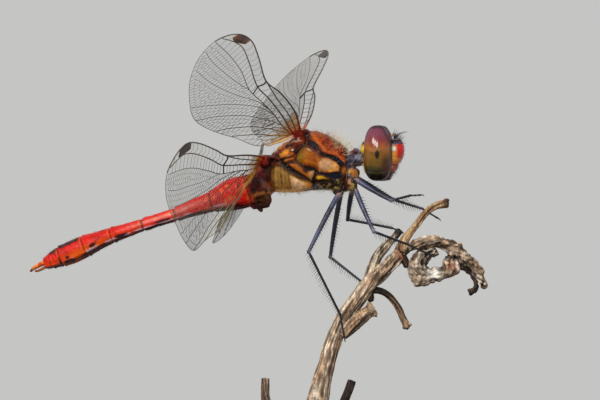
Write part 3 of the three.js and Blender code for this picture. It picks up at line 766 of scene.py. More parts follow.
def flank_relief(points, flat):
    """Sutures, plates and stripes of the thorax's sides."""
    relief = np.zeros(len(points))
    for line, _, _ in SUTURES:
        relief -= 0.12 * smooth(-0.09, 0.03, in_line(flat, line))
    relief -= 0.08 * (region(flat, STIGMA, 0.07) + region(flat, BLUE_PATCH, 0.07))
    for outline, bulge in ((BIG_PLATE, 0.13), (REAR_PLATE, 0.1), (MIDDLE_PLATE, 0.1), (YELLOW_PATCH, 0.06)):
        relief += bulge * smooth(0, 0.5, inside(flat, outline))
    relief -= 0.05 * near(in_line(flat, SHOULDER_DIP), 0.16)
    for at in STRIPES:
        relief -= 0.03 * near(points[:, 0] - at, 0.08) * region(flat, REAR_PLATE, 0.25)
    return relief


def trunk_relief(points):
    """How far the surface stands out, in millimetres."""
    x, y, z = points.T
    flat = points[:, [0, 2]]
    on_tail = smooth(-3.2, -3.7, x)
    on_flank = smooth(0.35, 0.75, np.abs(y)) * (1 - on_tail)
    relief = abdomen_relief(points, *abdomen_place(points)) * on_tail
    relief += flank_relief(points, flat) * on_flank
    relief += 0.06 * near(y, 0.09) * smooth(1.2, 1.9, z) * smooth(0.2, 0.9, x)
    rough = region(flat, WING_ZONE, 0.12) + 0.7 * region(flat, LOWER_STRIP, 0.1) + 0.6 * smooth(3.3, 3.6, x)
    relief += (0.1 * noise(points, 0.34, 3) + 0.05 * noise(points, 0.17, 4)) * rough * (1 - on_tail)
    return relief + 0.014 * noise(points, 0.25, 5) + 0.01 * noise(points, 0.13, 6)


def waist_tint(tint, points, station, high):
    """The first two segments and the lobe under them: a dark ground with orange lobes."""
    x, y, z = points.T
    waist = smooth(2.15, 1.75, station)
    lobes = blob(x + 3.45, z + 2.7, 0.4) + 0.8 * blob(x + 4.3, z + 3.5, 0.3)
    lobe = smooth(-3.3, -3.7, z) * smooth(-5.2, -4.7, x) * smooth(0.9, 0.6, np.abs(y))
    return layered(
        tint,
        ("#240605", waist * 0.94),
        ("#8e1206", waist * smooth(0.25, 0.75, high + 0.4 * noise(points, 0.45, 13)) * 0.9),
        ("#b0561a", waist * patches(0.0, 0.5, points, 0.9, 14) * smooth(0.1, -0.5, high) * 0.85),
        ("#cc8038", waist * patches(0.15, 0.7, points, 0.5, 10) * smooth(-0.1, -0.6, high) * 0.7),
        ("#0c0606", waist * patches(0.1, 0.6, points, 0.55, 9) * 0.75),
        ("#c07c38", waist * lobes * patches(-0.5, 0.3, points, 0.3, 36) * 0.85),
        ("#8a6a6a", near(station - 1.0, 0.12) * near(high + 0.1, 0.4) * 0.6),
        ("#34180e", lobe * 0.9),
        ("#8a5228", lobe * patches(0.15, 0.6, points, 0.3, 37) * 0.7),
    )


def belly_tint(tint, points, station, high, side):
    """A black line along each lower edge, and a dull plum strip between."""
    low = smooth(-0.6, -0.74, high + 0.12 * noise(points, 0.8, 15)) * smooth(1.6, 2.4, station)
    grey = near(high + 0.55, 0.1) * smooth(0.0, 0.4, noise(points, 0.55, 16) + 0.25) * smooth(3, 4, station)
    rust = smooth(-0.55, -0.8, high) * smooth(11.2, 11.8, station) * smooth(13.2, 12.8, station)
    return layered(
        tint,
        ("#0f0c0c", low * 0.92),
        ("#b8b0bc", grey * smooth(12.4, 11.4, station) * 0.9),
        ("#4a1712", smooth(0.32, 0.22, side) * low * 0.6),
        ("#a8420f", rust * 0.7),
    )


def abdomen_tint(points):
    """Blood red above, orange on the flanks, black and grey marks low down as the species has."""
    station, high, wide = abdomen_place(points)
    side = np.abs(wide)
    flush = smooth(0.2, -0.3, high) * smooth(8.9, 10, station) * smooth(13.2, 12, station)
    # A painted highlight: a pale pink patch high on the sides of the middle segments.
    painted_highlight = near(high - 0.3, 0.3) * near(station - 6.1, 1.5)
    tint = layered(
        plain("#c81306", len(points)),
        ("#d4380a", smooth(0.45, -0.35, high) * smooth(6.2, 8.2, station) * 0.95),
        ("#e05a0c", flush * 0.85),
        ("#8e0e06", patches(0.1, 0.7, points, 0.5, 11) * 0.5),
        ("#e8601c", patches(0.15, 0.6, points, 0.35, 12) * smooth(5.4, 3, station) * 0.7),
        ("#e89888", painted_highlight * (0.6 + 0.3 * noise(points, 0.4, 19))),
    )
    tint = waist_tint(tint, points, station, high)
    tint = belly_tint(tint, points, station, high, side)
    for at, height, long, tall in BLOTCHES:
        edge = ((station - at) / long) ** 2 + ((high - height) / tall) ** 2 + 0.35 * noise(points, 0.3, 17)
        tint = layered(tint, ("#17101c", smooth(1.35, 0.75, edge) * smooth(0.3, 0.55, side) * 0.93))
    # The back of segments eight and nine is black.
    stripe = smooth(0.8, 0.66, side + 0.08 * noise(points, 0.3, 18)) * smooth(0.3, 0.5, high)
    stripe = stripe * smooth(11.05, 11.25, station) * smooth(13.9, 13.7, station)
    stripe = stripe * (1 - 0.8 * near(station - 13, 0.08))
    tint = layered(tint, ("#120c0c", stripe * 0.95), ("#e88a3a", near(wide, 0.05) * stripe * 0.25))
    for end in SEGMENT_ENDS[1:-1]:
        seam = near(station - end - 0.03, 0.05) * smooth(-0.9, -0.3, high)
        glow = near(station - end - 0.13, 0.06) * smooth(-0.6, 0.2, high)
        tint = layered(tint, ("#3a0a06", seam * 0.75), ("#e8702c", glow * 0.3))
    return tint


class Flank:
    """Places and shared noise for colouring the thorax."""

    def __init__(self, points):
        self.points, self.flat = points, points[:, [0, 2]]
        self.x, self.side, self.z = points[:, 0], np.abs(points[:, 1]), points[:, 2]
        self.soft, self.fine = noise(points, 0.6, 21), noise(points, 0.2, 22)
        self.here = smooth(0.3, 0.6, self.side)

    def patches(self, low, high, size, seed):
        return patches(low, high, self.points, size, seed)

    def region(self, outline, soft):
        return region(self.flat, outline, soft)

    def plate(self, tint, outline, middle, edge, reach=0.4):
        """A plate with painted shade at its edge and a lighter middle, as light falls on a bulging plate.
        """
        depth = inside(self.flat, outline) + 0.03 * self.fine
        # Painted shade: the edge colour round the border, fading into the middle colour further in.
        return layered(
            tint,
            (edge, smooth(-0.05, 0.05, depth) * self.here),
            (middle, smooth(0.03, reach, depth + 0.06 * self.soft) * self.here),
        )


def back_tint(tint, on):
    """The back: red-brown with an orange lower rim, a painted light orange highlight down its upper edge,
    and dark red streaks.
    """
    x, z = on.x, on.z
    back = on.region(DORSAL_BAND, 0.08)
    streaks = noise(np.stack([x + 1.3 * z, on.points[:, 1] * 0.6, 2.2 * (z - x)], -1), 0.8, 23)
    return layered(
        tint,
        ("#9c4412", back),
        ("#6a1608", back * smooth(-0.1, 0.4, streaks + 0.3 * on.fine) * smooth(0.4, 1.1, x) * 0.85),
        # Painted highlight.
        ("#d0762a", back * near(in_line(on.flat, UPPER_HIGHLIGHT), 0.13) * 0.75),
        ("#c86a30", back * near(in_line(on.flat, LOWER_RIM), 0.16) * 0.6),
        ("#7c2a10", smooth(1.1, 0.4, on.side) * smooth(1.0, 1.8, z) * 0.6),
    )


def plates_tint(tint, on):
    """The big plate, olive-brown behind and a pale blister in front with a painted glint, and the one below
    it.
    """
    x, z = on.x, on.z
    tint = on.plate(tint, BIG_PLATE, "#a8600e", "#5e2c0a")
    tint = layered(
        tint,
        ("#8c6c16", on.region(BIG_PLATE, 0.15) * smooth(0.35, -0.5, x + 0.4 * on.soft) * on.here * 0.7),
        ("#8a3a0c", blob(x - 0.75, z - 0.42, 0.33) * on.here * 0.6),
    )
    tint = on.plate(tint, PALE_PATCH, "#c69a72", "#a0642c", 0.3)
    tint = layered(
        tint,
        ("#eaa858", near(in_line(on.flat, PALE_RIM), 0.2) * on.region(PALE_PATCH, 0.05) * 0.9),
        # A painted glint.
        ("#f0dcb8", smooth(-0.07, 0.03, in_line(on.flat, PAINTED_GLINT) + 0.03 * on.fine) * 0.7),
    )
    tint = on.plate(tint, MIDDLE_PLATE, "#b0661a", "#4e2408", 0.3)
    return layered(tint, ("#cc9a66", on.region(MIDDLE_PLATE, 0.1) * smooth(0.15, 0.6, x) * 0.8))


def rear_plate_tint(tint, on):
    """The rear plate, striped behind, smooth and pale in front, with a yellow lower edge."""
    x, z = on.x, on.z
    tint = on.plate(tint, REAR_PLATE, "#b08646", "#5c3c14", 0.35)
    rear = on.region(REAR_PLATE, 0.08) * on.here
    pale = smooth(-1.45, -0.9, x) * smooth(0.1, 0.4, inside(on.flat, REAR_PLATE))
    tint = layered(tint, ("#e8be94", rear * pale))
    for number, at in enumerate(STRIPES):
        strength = 0.75 if number % 2 == 0 else 0.4
        line = near(x - at + 0.14 * on.soft + 0.04 * (z + 1), 0.12)
        line = line * smooth(-2.35, -1.8, z + 0.3 * on.soft)
        tint = layered(tint, ("#3e2810", rear * line * strength * (0.75 + 0.5 * on.fine)))
    yellow = smooth(-2.28, -2.42, z + 0.05 * on.soft) * smooth(0.0, -0.6, x) * smooth(-3.3, -2.9, x)
    return layered(
        tint,
        ("#eca03c", rear * blob(x - 0.25, z + 2.0, 0.36) * 0.9),
        ("#9a4e18", rear * near(z + 2.2, 0.13) * near(x + 1.6, 0.8) * 0.7),
        ("#eaa41a", yellow * 0.95),
    )


def wing_roots_tint(tint, on):
    """Wing roots: red and orange lumps over dark hollows, with painted pale glints."""
    x, z = on.x, on.z
    zone = on.region(WING_ZONE, 0.1)
    orange = on.patches(-0.2, 0.45, 0.7, 25) * smooth(2.7, 1.5, z) * smooth(-3.2, -2.6, x)
    return layered(
        tint,
        ("#5a1a0a", zone * 0.95),
        ("#b05e16", zone * orange * 0.9),
        ("#e8a040", zone * on.patches(0.0, 0.6, 0.5, 30) * blob(x + 1.9, z - 0.9, 0.9) * 0.85),
        ("#0e0706", zone * on.patches(0.1, 0.5, 0.4, 24) * 0.85),
        ("#b02a12", zone * blob(x + 0.75, z - 2.45, 0.6) * 0.75),
        # Painted glints: small pale pinkish spots.
        ("#d9c2b4", zone * on.patches(0.45, 0.7, 0.26, 26) * smooth(-2.2, -1.2, x) * 0.8),
        ("#20222e", blob(x - 0.25, z - 2.35, 0.3) * 0.9),
    )


def low_front_tint(tint, on):
    """A yellow fleck, blue-black above it, a scaly strip below and the dark of the collar."""
    tint = layered(tint, ("#101a30", on.region(BLUE_PATCH, 0.07) * on.here * 0.97))
    tint = on.plate(tint, YELLOW_PATCH, "#d2a42a", "#7a5c14", 0.14)
    strip, collar = on.region(LOWER_STRIP, 0.1), on.region(NECK_DARK, 0.15)
    return layered(
        tint,
        ("#3a2c22", strip * 0.9),
        ("#a08a4c", strip * on.patches(-0.05, 0.4, 0.24, 27) * smooth(3.5, 2.6, on.x) * 0.8),
        ("#26222e", collar * 0.85),
        ("#7c7a92", collar * on.patches(0.1, 0.5, 0.3, 28) * 0.8),
    )


def sutures_tint(tint, on):
    """The black of the sutures, a little blue along the shoulder, and small flecks beside them."""
    x, z = on.x, on.z
    for line, text, strength in SUTURES:
        within = smooth(-0.05, 0.03, in_line(on.flat, line) + 0.04 * on.fine)
        tint = layered(tint, (text, within * on.here * strength))
    return layered(
        tint,
        ("#1c100a", on.region(STIGMA, 0.05) * on.here * 0.96),
        ("#143048", blob(x - 3.15, z - 0.05, 0.2) * on.here * 0.6),
        ("#8a86a0", blob(x - 0.86, z + 2.05, 0.16) * on.here * 0.7),
        ("#c8843c", blob(1.7 * (x - 3.4), z + 0.66, 0.3) * on.here * 0.85),
        ("#8a6248", blob(x - 1.2, z - 1.0, 0.12) * on.here * 0.6),
    )


def thorax_tint(points):
    """Tan and orange plates between black sutures, a red-brown back and a yellow lower edge."""
    on = Flank(points)
    tint = layered(
        plain("#4a2410", len(points)),
        ("#3a2a20", smooth(0.8, 0.3, on.side) * smooth(-1.5, -2.2, on.z)),
    )
    for add in (back_tint, plates_tint, rear_plate_tint, wing_roots_tint, low_front_tint, sutures_tint):
        tint = add(tint, on)
    specks = noise(points, 0.11, 29)
    return 1.02 * tint**1.14 * (1 + 0.25 * specks + 0.14 * on.fine)[:, None]


def neck_tint(points):
    """Collar and front hips: grey-blue with yellow flecks."""
    x, side, z = points[:, 0], np.abs(points[:, 1]), points[:, 2]
    low = smooth(-0.4, -0.9, z)
    return layered(
        plain("#3c3844", len(points)),
        ("#8b879a", patches(0.0, 0.45, points, 0.4, 32) * 0.85),
        ("#2a1512", patches(0.1, 0.5, points, 0.3, 31) * 0.8),
        ("#a8784a", low * patches(-0.35, 0.25, points, 0.45, 33) * 0.9),
        ("#c8a63c", low * patches(0.25, 0.6, points, 0.38, 34) * 0.8),
        ("#1c1620", low * patches(0.2, 0.5, points, 0.34, 35) * 0.8),
        ("#c2701e", blob(x - 4.35, z + 0.85, 0.35) * smooth(0.3, 0.8, side) * 0.85),
        ("#a0341a", blob(x - 3.95, z - 1.2, 0.3) * 0.7),
    )


def build_trunk():
    points, faces, normals = fuse([tube(trunk_rings())] + trunk_lumps(), BODY_VOXEL)
    points = points + normals * trunk_relief(points)[:, None]
    x, z = points[:, 0], points[:, 2]
    tail = smooth(-3.05, -3.4, x + 0.25 * (z + 1))[:, None]
    neck = smooth(3.45, 3.75, x + 0.1 * z)[:, None]
    tint = thorax_tint(points) * (1 - neck) + neck_tint(points) * neck
    tint = tint * (1 - tail) + abdomen_tint(points) * tail
    between_legs = smooth(-2.35, -2.75, z) * smooth(0.5, 1.5, x)
    tint = layered(tint, ("#17141a", between_legs * 0.95))
    nodes = ["thorax", "prothorax", "genital_lobe"] + [f"abdomen_{i}" for i in range(1, 11)]
    piece("body_skin", points, faces, tint, "red_cuticle", nodes)
    return points, faces


trunk = build_trunk()


# ---------------------------------------------------------------- head, face, eyes and feelers


def eye_power(x, z):
    """How square the eye's outline is: least at the upper front corner, which slopes away."""
    corner = np.maximum(x, 0) * np.maximum(z, 0) / np.maximum(x**2 + z**2, 1e-9)
    return EYE_FULLNESS + (EYE_CORNER - EYE_FULLNESS) * 2 * corner


def eye_grid(side, rows=110, around=150):
    """A leaning, squarish oval whose poles face forward and back, flattened where the eyes meet."""
    polar = math.pi * (0.5 - 0.5 * np.cos(np.linspace(0.06, math.pi - 0.06, rows)))
    angle = circle(around)
    x = np.cos(polar)[:, None] * np.ones(around)
    y = np.sin(polar)[:, None] * np.cos(angle)
    z = np.sin(polar)[:, None] * np.sin(angle)
    power = eye_power(x, z)
    full = (np.abs(x) ** power + np.abs(z) ** power) ** (1 / power)
    outline = np.hypot(x, z) + (full - np.hypot(x, z)) * (1 - y**2)
    globe = np.stack([x, y, z], -1) / np.hypot(outline, y)[..., None]
    turned = globe * EYE_SIZE
    c, s = math.cos(side * EYE_LEAN), math.sin(side * EYE_LEAN)
    y, z = turned[..., 1] * c - turned[..., 2] * s, turned[..., 1] * s + turned[..., 2] * c
    placed = np.stack([turned[..., 0], y, z], -1) + mirrored(EYE_AT, side)
    placed[..., 1] = side * np.maximum(placed[..., 1] * side, EYE_GAP)
    return placed


def eye_tint(points, side):
    """Plum above, orange-brown bands at the middle, olive below and near black underneath."""
    x, z = points[:, 0] - EYE_AT[0], points[:, 2]
    level = z - 0.22 * np.abs(x) ** 1.6 + 0.09 * noise(points, 0.7, 41)
    tint = layered(
        plain("#5e440e", len(points)),
        ("#7a5214", near(level - 0.45, 0.3) * 0.8),
        ("#7a4814", smooth(0.8, 1.0, level)),
        ("#9a5e2c", near(level - 1.14, 0.16) * 0.85),
        ("#b0765a", near(level - 1.02, 0.05) * smooth(0.8, 0.3, np.abs(x - 0.1)) * 0.7),
        ("#7a2a14", near(level - 0.92, 0.05) * smooth(0.8, 0.3, np.abs(x)) * 0.7),
        ("#7a2e1c", smooth(1.18, 1.5, level)),
        ("#8e3420", near(level - 1.42, 0.1) * 0.5),
        ("#742630", smooth(1.5, 2.0, level) * 0.95),
        ("#6c3046", smooth(2.0, 2.6, level) * 0.95),
        ("#2a1214", smooth(2.95, 3.2, z + 0.05 * noise(points, 0.3, 47)) * 0.9),
        ("#a04416", near(x - 0.6, 0.35) * near(z - 1.45, 0.35) * 0.6),
        ("#a0580e", near(x - 0.75, 0.4) * near(z - 1.02, 0.4) * 0.8),
        ("#44200a", near(x - 0.85, 0.4) * near(z - 0.05, 0.62) * 0.85),
        ("#a2662a", near(x + 0.8, 0.3) * near(z - 1.35, 0.4) * 0.7),
        ("#8a5a34", near(x + 0.75, 0.2) * near(z - 0.5, 0.6) * 0.6),
        ("#3c3410", smooth(-0.3, -0.55, level)),
        ("#1c180a", smooth(-0.6, -0.8, level)),
        ("#463e1c", near(level + 0.95, 0.07) * 0.8),
        ("#120c08", smooth(-1.05, -1.3, level)),
        ("#460e06", near(x - 0.8, 0.3) * near(z + 0.55, 0.5) * 0.8),
    )
    # The deep-set dark spot of each compound eye, painted here as fixed shade though in life it moves with
    # the viewer, the paler halo round it and the dark rim.
    spot = np.hypot((x - 0.1) / 0.2, (z - 0.72) / 0.4)
    facing = smooth(1.5, 2.1, points[:, 1] * side)
    ahead, above = x / EYE_SIZE[0], (z - EYE_AT[2]) / EYE_SIZE[2]
    power = eye_power(ahead, above)
    rim = np.abs(ahead) ** power + np.abs(above) ** power
    tint = layered(
        tint,
        ("#6b4e12", near(spot - 1.6, 0.8) * facing * 0.5),
        ("#0c0604", smooth(1.25, 0.75, spot) * facing * 0.97),
        ("#1c0d0a", smooth(0.62, 0.95, rim) * 0.8),
    )
    gloss = 0.85 * smooth(0.95, 0.45, rim) * (1 - 0.6 * smooth(1.15, 0.75, z))
    return np.concatenate([tint, gloss[:, None]], 1)


def build_eyes():
    for name, side in (("eye_right", -1), ("eye_left", 1)):
        points, faces = tube(eye_grid(side)[::-1])
        piece(name + "_lens", points, faces, eye_tint(points, side), "compound_eye", [name])


HEAD_VOXEL = 0.05
FACE_BACK = 6.7
# Down the face: height, front and half width.
FACE_PROFILE = [
    (1.95, 8.1, 0.55), (1.74, 8.38, 0.8), (1.46, 8.58, 1.0), (1.14, 8.64, 1.12), (0.73, 8.58, 1.18),
    (0.48, 8.46, 1.2), (0.2, 8.27, 1.2), (-0.13, 8.13, 1.16), (-0.39, 8.0, 1.1), (-0.64, 7.8, 1.0),
    (-0.9, 7.66, 0.92), (-1.16, 7.5, 0.8), (-1.4, 7.3, 0.6),
]
# The three simple eyes on the vertex, the middle one and one of the pair.
MIDDLE_OCELLUS, SIDE_OCELLUS = (7.84, 0.0, 2.5), (7.55, 0.3, 2.48)
# Grooves across the face: height and depth.
FACE_GROOVES = ((1.82, 0.07), (0.55, 0.05), (0.05, 0.04), (-0.2, 0.06), (-0.72, 0.08), (-1.15, 0.05))


def face_parts():
    """Head capsule, vertex with its simple eyes, frons, clypeus, jaws, lips and the rear of the head."""
    heights, fronts, halves = np.array(FACE_PROFILE).T
    middles = [((front + FACE_BACK) / 2, 0, z) for z, front in zip(heights, fronts)]
    depths = (fronts - FACE_BACK) / 2
    parts = [
        tube(sweep(middles, halves, depths, rows=60, around=44, ends=(0.3, 0.3), square=0.9)),
        oval((6.35, 0, 0.5), (1.16, 1.6, 1.9)),
        oval((7.62, 0, 2.1), (0.42, 0.42, 0.52), turn=10),
        oval((7.35, 0, 1.75), (0.55, 0.62, 0.6)),
        ball(MIDDLE_OCELLUS, (0.13, 0.13, 0.13)),
        oval((6.85, 0, -1.1), (0.7, 0.9, 0.38), turn=28),
        oval((6.9, 0, 2.8), (0.3, 0.12, 0.2)),
        oval((5.35, 0, 0.55), (0.38, 0.75, 0.75)),
        oval((5.15, 0, 1.2), (0.4, 1.53, 0.78)),
    ]
    for side in (-1, 1):
        parts += [
            oval((8.0, side * 0.4, 1.2), (0.58, 0.52, 0.6)),
            ball(mirrored(SIDE_OCELLUS, side), (0.12, 0.1, 0.12)),
            oval((7.05, side * 0.95, -0.55), (0.45, 0.38, 0.45)),
            oval((6.75, side * 0.45, -1.15), (0.58, 0.45, 0.34), turn=30),
            ball((7.72, side * 0.36, 2.02), (0.2, 0.17, 0.2)),
            oval((5.35, side * 0.85, 0.35), (0.32, 0.75, 1.35), lean=side * -10),
        ]
    return parts


def face_relief(points):
    x, y, z = points.T
    front = smooth(6.9, 7.3, x)
    relief = -0.07 * near(y, 0.06) * near(z - 1.35, 0.45) * smooth(8.0, 8.3, x)
    for height, depth in FACE_GROOVES:
        relief -= depth * near(z - height + 0.16 * (x - 7.8), 0.045) * front
    relief -= 0.04 * near(y, 0.04) * near(z + 1.1, 0.4)
    relief -= 0.018 * patches(0.3, 0.7, points, 0.13, 43) * front
    return relief + 0.012 * noise(points, 0.2, 42)


def frons_tint(tint, points, front, soft):
    """Scarlet frons and ochre clypeus over a pink-red lip."""
    x, z = points[:, 0], points[:, 2]
    forward = x - 0.12 * (z - 1.0) + soft
    slant = z + 0.16 * (x - 7.8)
    scarlet = smooth(7.98, 8.3, forward + 0.12 * (z - 0.9)) * smooth(0.2, 0.7, z + soft)
    return layered(
        tint,
        ("#b4661e", front),
        ("#dc9838", front * near(z - 0.6, 0.55) * smooth(8.45, 8.05, forward) * 0.95),
        ("#b4601c", front * smooth(0.3, -0.1, z) * 0.8),
        ("#c8340e", front * near(forward - 8.16, 0.13) * near(z - 0.8, 0.5) * 0.55),
        ("#b40c10", front * scarlet),
        ("#d4141c", front * near(z - 1.3, 0.4) * smooth(8.05, 8.4, x) * 0.8),
        ("#a8403a", front * smooth(0.05, -0.2, z + soft) * smooth(8.2, 7.9, x) * 0.95),
        ("#cc7468", front * near(z + 0.38, 0.22) * near(x - 7.55, 0.25) * 0.8),
        ("#6e2c16", front * smooth(7.75, 8.0, x) * smooth(0.1, -0.3, z) * 0.6),
        ("#7e3a16", front * near(slant - 0.55, 0.05) * 0.45),
        ("#4a1c12", front * near(slant + 0.2, 0.05) * 0.6),
    )


def crown_tint(tint, points, front, soft):
    """The black crown with painted pale glints, painted shade in the gap between eye and face, and the
    white spot beside the frons.
    """
    x, side, z = points[:, 0], np.abs(points[:, 1]), points[:, 2]
    level = z - 0.3 * (x - 7.8)
    crown = smooth(1.56, 1.7, level + soft)
    return layered(
        tint,
        ("#171119", front * crown * 0.96),
        ("#4e4470", front * near(level - 1.66, 0.1) * smooth(7.6, 7.9, x) * 0.85),
        ("#8c7490", front * smooth(2.0, 2.25, z) * patches(0.0, 0.45, points, 0.22, 48) * 0.8),
        # Painted glints: pale specks on the crown.
        ("#e4d8e0", front * near(z - 2.05, 0.35) * patches(0.45, 0.65, points, 0.16, 49) * 0.9),
        ("#5e4048", front * crown * smooth(2.1, 2.5, z) * 0.6),
        # A painted glint: one pale round spot on the crown.
        ("#d8cade", front * blob(x - 7.68, z - 2.24, 0.13) * smooth(0.05, 0.2, side) * 0.9),
        # Painted shade in the gap between the eye and the face.
        ("#17101a", front * near(x - 7.5, 0.14) * near(z - 1.0, 0.45) * 0.9),
        ("#dcd6d0", front * smooth(0.27, 0.15, np.hypot(x - 7.8, z - 1.26)) * smooth(0.5, 0.75, side)),
    )


def rear_tint(tint, points):
    """The rear: tan with a black band and a yellow spot on each side."""
    side, z = np.abs(points[:, 1]), points[:, 2]
    rear = smooth(6.1, 5.7, points[:, 0])
    return layered(
        tint,
        ("#8a5e34", rear),
        ("#c9a04a", rear * patches(0.0, 0.5, points, 0.45, 46) * 0.6),
        ("#120f10", rear * near(z - 0.62, 0.22) * 0.95),
        ("#120f10", rear * smooth(1.5, 1.75, z) * 0.9),
        ("#e0c22e", rear * blob(0.5 * (side - 1.2), z - 1.18, 0.27) * 0.98),
        ("#c8a878", rear * smooth(0.1, -0.5, z) * 0.5),
    )


def face_tint(points):
    x, side, z = points[:, 0], np.abs(points[:, 1]), points[:, 2]
    soft = 0.06 * noise(points, 0.35, 44)
    front = smooth(6.95, 7.25, x)
    tint = frons_tint(plain("#5a3018", len(points)), points, front, soft)
    tint = crown_tint(tint, points, front, soft)
    for at in (MIDDLE_OCELLUS, SIDE_OCELLUS):
        away = np.linalg.norm(np.stack([x, side, z], -1) - at, axis=1)
        tint = layered(tint, ("#c49a6a", smooth(0.17, 0.11, away) * 0.8))
    tint = layered(
        tint,
        ("#221510", smooth(-0.62, -0.85, z + soft) * smooth(6.0, 6.6, x) * 0.9),
        ("#6e4a22", patches(0.1, 0.45, points, 0.3, 45) * smooth(-0.75, -1.0, z) * 0.35),
    )
    return rear_tint(tint, points)


def build_feelers():
    for name, side in (("antenna_right", -1), ("antenna_left", 1)):
        base = [(7.72, 0.34, 2.12), (7.86, 0.42, 2.3), (7.98, 0.48, 2.42)]
        lash = [(7.96, 0.47, 2.4), (8.25, 0.6, 2.6), (8.55, 0.8, 2.72), (8.95, 1.05, 2.8)]
        points, faces = join([
            rod(mirrored(base, side), [0.09, 0.1, 0.07], 16, 12, (0.05, 0.06)),
            rod(mirrored(lash, side), [0.032, 0.025, 0.018, 0.009], 34, 8, (0, 0.05)),
        ])
        tint = layered(plain("#17121a", len(points)), ("#5a4438", smooth(8.2, 8.9, points[:, 0]) * 0.6))
        piece(name + "_feeler", points, faces, tint, "black_cuticle", [name])


def build_head():
    points, faces, normals = fuse(face_parts(), HEAD_VOXEL, 4)
    points = points + normals * face_relief(points)[:, None]
    tint = face_tint(points)
    piece("head_skin", points, faces, tint, "face_cuticle", ["head", "face", "mouthparts"])
    return points, faces


build_eyes()
head = build_head()
build_feelers()


# ---------------------------------------------------------------- tail appendages


def build_tail():
    """Two hooked upper claspers and the shorter plate between them."""
    for name, side in (("cercus_right", -1), ("cercus_left", 1)):
        route = [(-23.55, side * 0.3, -8.85), (-24.0, side * 0.36, -8.98), (-24.55, side * 0.36, -9.25),
                 (-24.95, side * 0.3, -9.52), (-25.2, side * 0.24, -9.78)]
        wide, high = [0.16, 0.19, 0.2, 0.15, 0.05], [0.17, 0.2, 0.17, 0.12, 0.04]
        points, faces = tube(sweep(route, wide, high, rows=60, ends=(0.1, 0.08)))
        points = points + 0.02 * noise(points, 0.12, 51)[:, None]
        gone = smooth(-24.2, -25.2, points[:, 0])
        tint = layered(
            plain("#c8431a", len(points)),
            ("#d98a34", patches(0.1, 0.5, points, 0.3, 52) * 0.7),
            ("#1c0f0c", smooth(0.75, 1.0, gone) * 0.9),
        )
        piece(name + "_clasper", points, faces, tint, "red_cuticle", [name])
    route = [(-23.5, 0, -9.2), (-23.95, 0, -9.42), (-24.45, 0, -9.66), (-24.8, 0, -9.72)]
    wide, high = [0.3, 0.27, 0.2, 0.1], [0.14, 0.13, 0.11, 0.07]
    points, faces = tube(sweep(route, wide, high, rows=44, ends=(0.1, 0.1)))
    points = points + 0.015 * noise(points, 0.12, 53)[:, None]
    tint = layered(plain("#7e2c12", len(points)), ("#c8803a", patches(0.0, 0.5, points, 0.3, 54) * 0.7))
    piece("epiproct_plate", points, faces, tint, "red_cuticle", ["epiproct"])


# ---------------------------------------------------------------- legs

LEG_VOXEL = 0.042
TARSUS_SHARES = (0.0, 0.22, 0.55, 1.0)


def leg_stops(name):
    """Where a leg's hip, knee, ankle and toe are."""
    return np.array(LEGS[name], float)


def leg_parts(name):
    """Thigh, shin, three foot joints, the pads at the joints and a pair of claws."""
    hip, knee, ankle, toe = leg_stops(name)
    thigh, shin, foot = knee - hip, ankle - knee, toe - ankle
    bow = np.cross(unit(thigh), unit(shin))
    bow = unit(np.cross(bow, unit(thigh)))
    start = hip - 0.25 * unit(thigh)
    thigh_route = [start, hip, hip + 0.35 * thigh - 0.06 * bow, hip + 0.7 * thigh - 0.05 * bow, knee]
    shin_route = [knee, knee + 0.3 * shin, knee + 0.65 * shin, ankle]
    parts = [
        rod(thigh_route, [0.2, 0.225, 0.235, 0.2, 0.155], 60, 20, (0.1, 0.12)),
        oval(knee, (0.185, 0.185, 0.19), rows=14, around=18),
        rod(shin_route, [0.13, 0.12, 0.115, 0.115], 50, 18, (0.08, 0.08)),
        oval(ankle, (0.125, 0.125, 0.125), rows=12, around=16),
    ]
    for a, b in zip(TARSUS_SHARES[:-1], TARSUS_SHARES[1:]):
        joint = [ankle + share * foot for share in (a, 0.5 * a + 0.5 * b, b)]
        parts.append(rod(joint, [0.075, 0.085, 0.1], 18, 14, (0.05, 0.07)))
    ahead = unit(foot)
    down = unit(ahead * 0.6 + np.array([0, 0, -0.8]))
    for spread in (-1, 1):
        out = np.array([0.0, 0.12 * spread, 0.0])
        claw = [toe - 0.05 * ahead, toe + 0.16 * ahead + out, toe + 0.2 * ahead + 0.2 * down + 1.5 * out]
        parts.append(rod(claw, [0.06, 0.055, 0.02], 16, 10, (0.03, 0.05)))
    return parts


def leg_tint(points, name):
    """Black, with a painted bluish sky reflection in patches on thigh and shin, stronger on the lit right
    legs than on the shaded left ones, painted pale highlights at the knee and hip, and brown at the hip.
    """
    hip, knee, ankle, _ = leg_stops(name)

    def along(start, stop):
        return smooth(0.2, 0.05, np.linalg.norm(np.cross(points - start, unit(stop - start)), axis=1) - 0.2)

    # A painted bluish reflection of the sky, in patches.
    sky_sheen = smooth(-0.3, 0.4, noise(points * [0.5, 1, 0.5], 0.5, 61))
    # The right legs are painted as lit and the left ones as shaded.
    lit_share = 1.0 if name.endswith("right") else 0.35
    from_hip = np.linalg.norm(points - hip, axis=1)
    from_knee = np.linalg.norm(points - knee, axis=1)
    return layered(
        plain("#101015", len(points)),
        ("#484c70", along(hip, knee) * (0.2 + 0.5 * sky_sheen) * lit_share),
        ("#33344a", along(knee, ankle) * sky_sheen * 0.4),
        # A painted highlight at the knee.
        ("#8e8a92", near(from_knee - 0.2, 0.06) * sky_sheen * 0.5),
        ("#4a2e1e", near(from_hip, 0.4) * 0.5),
        # A painted highlight by the hip.
        ("#a88478", near(from_hip - 0.3, 0.3) * sky_sheen * 0.6),
    )


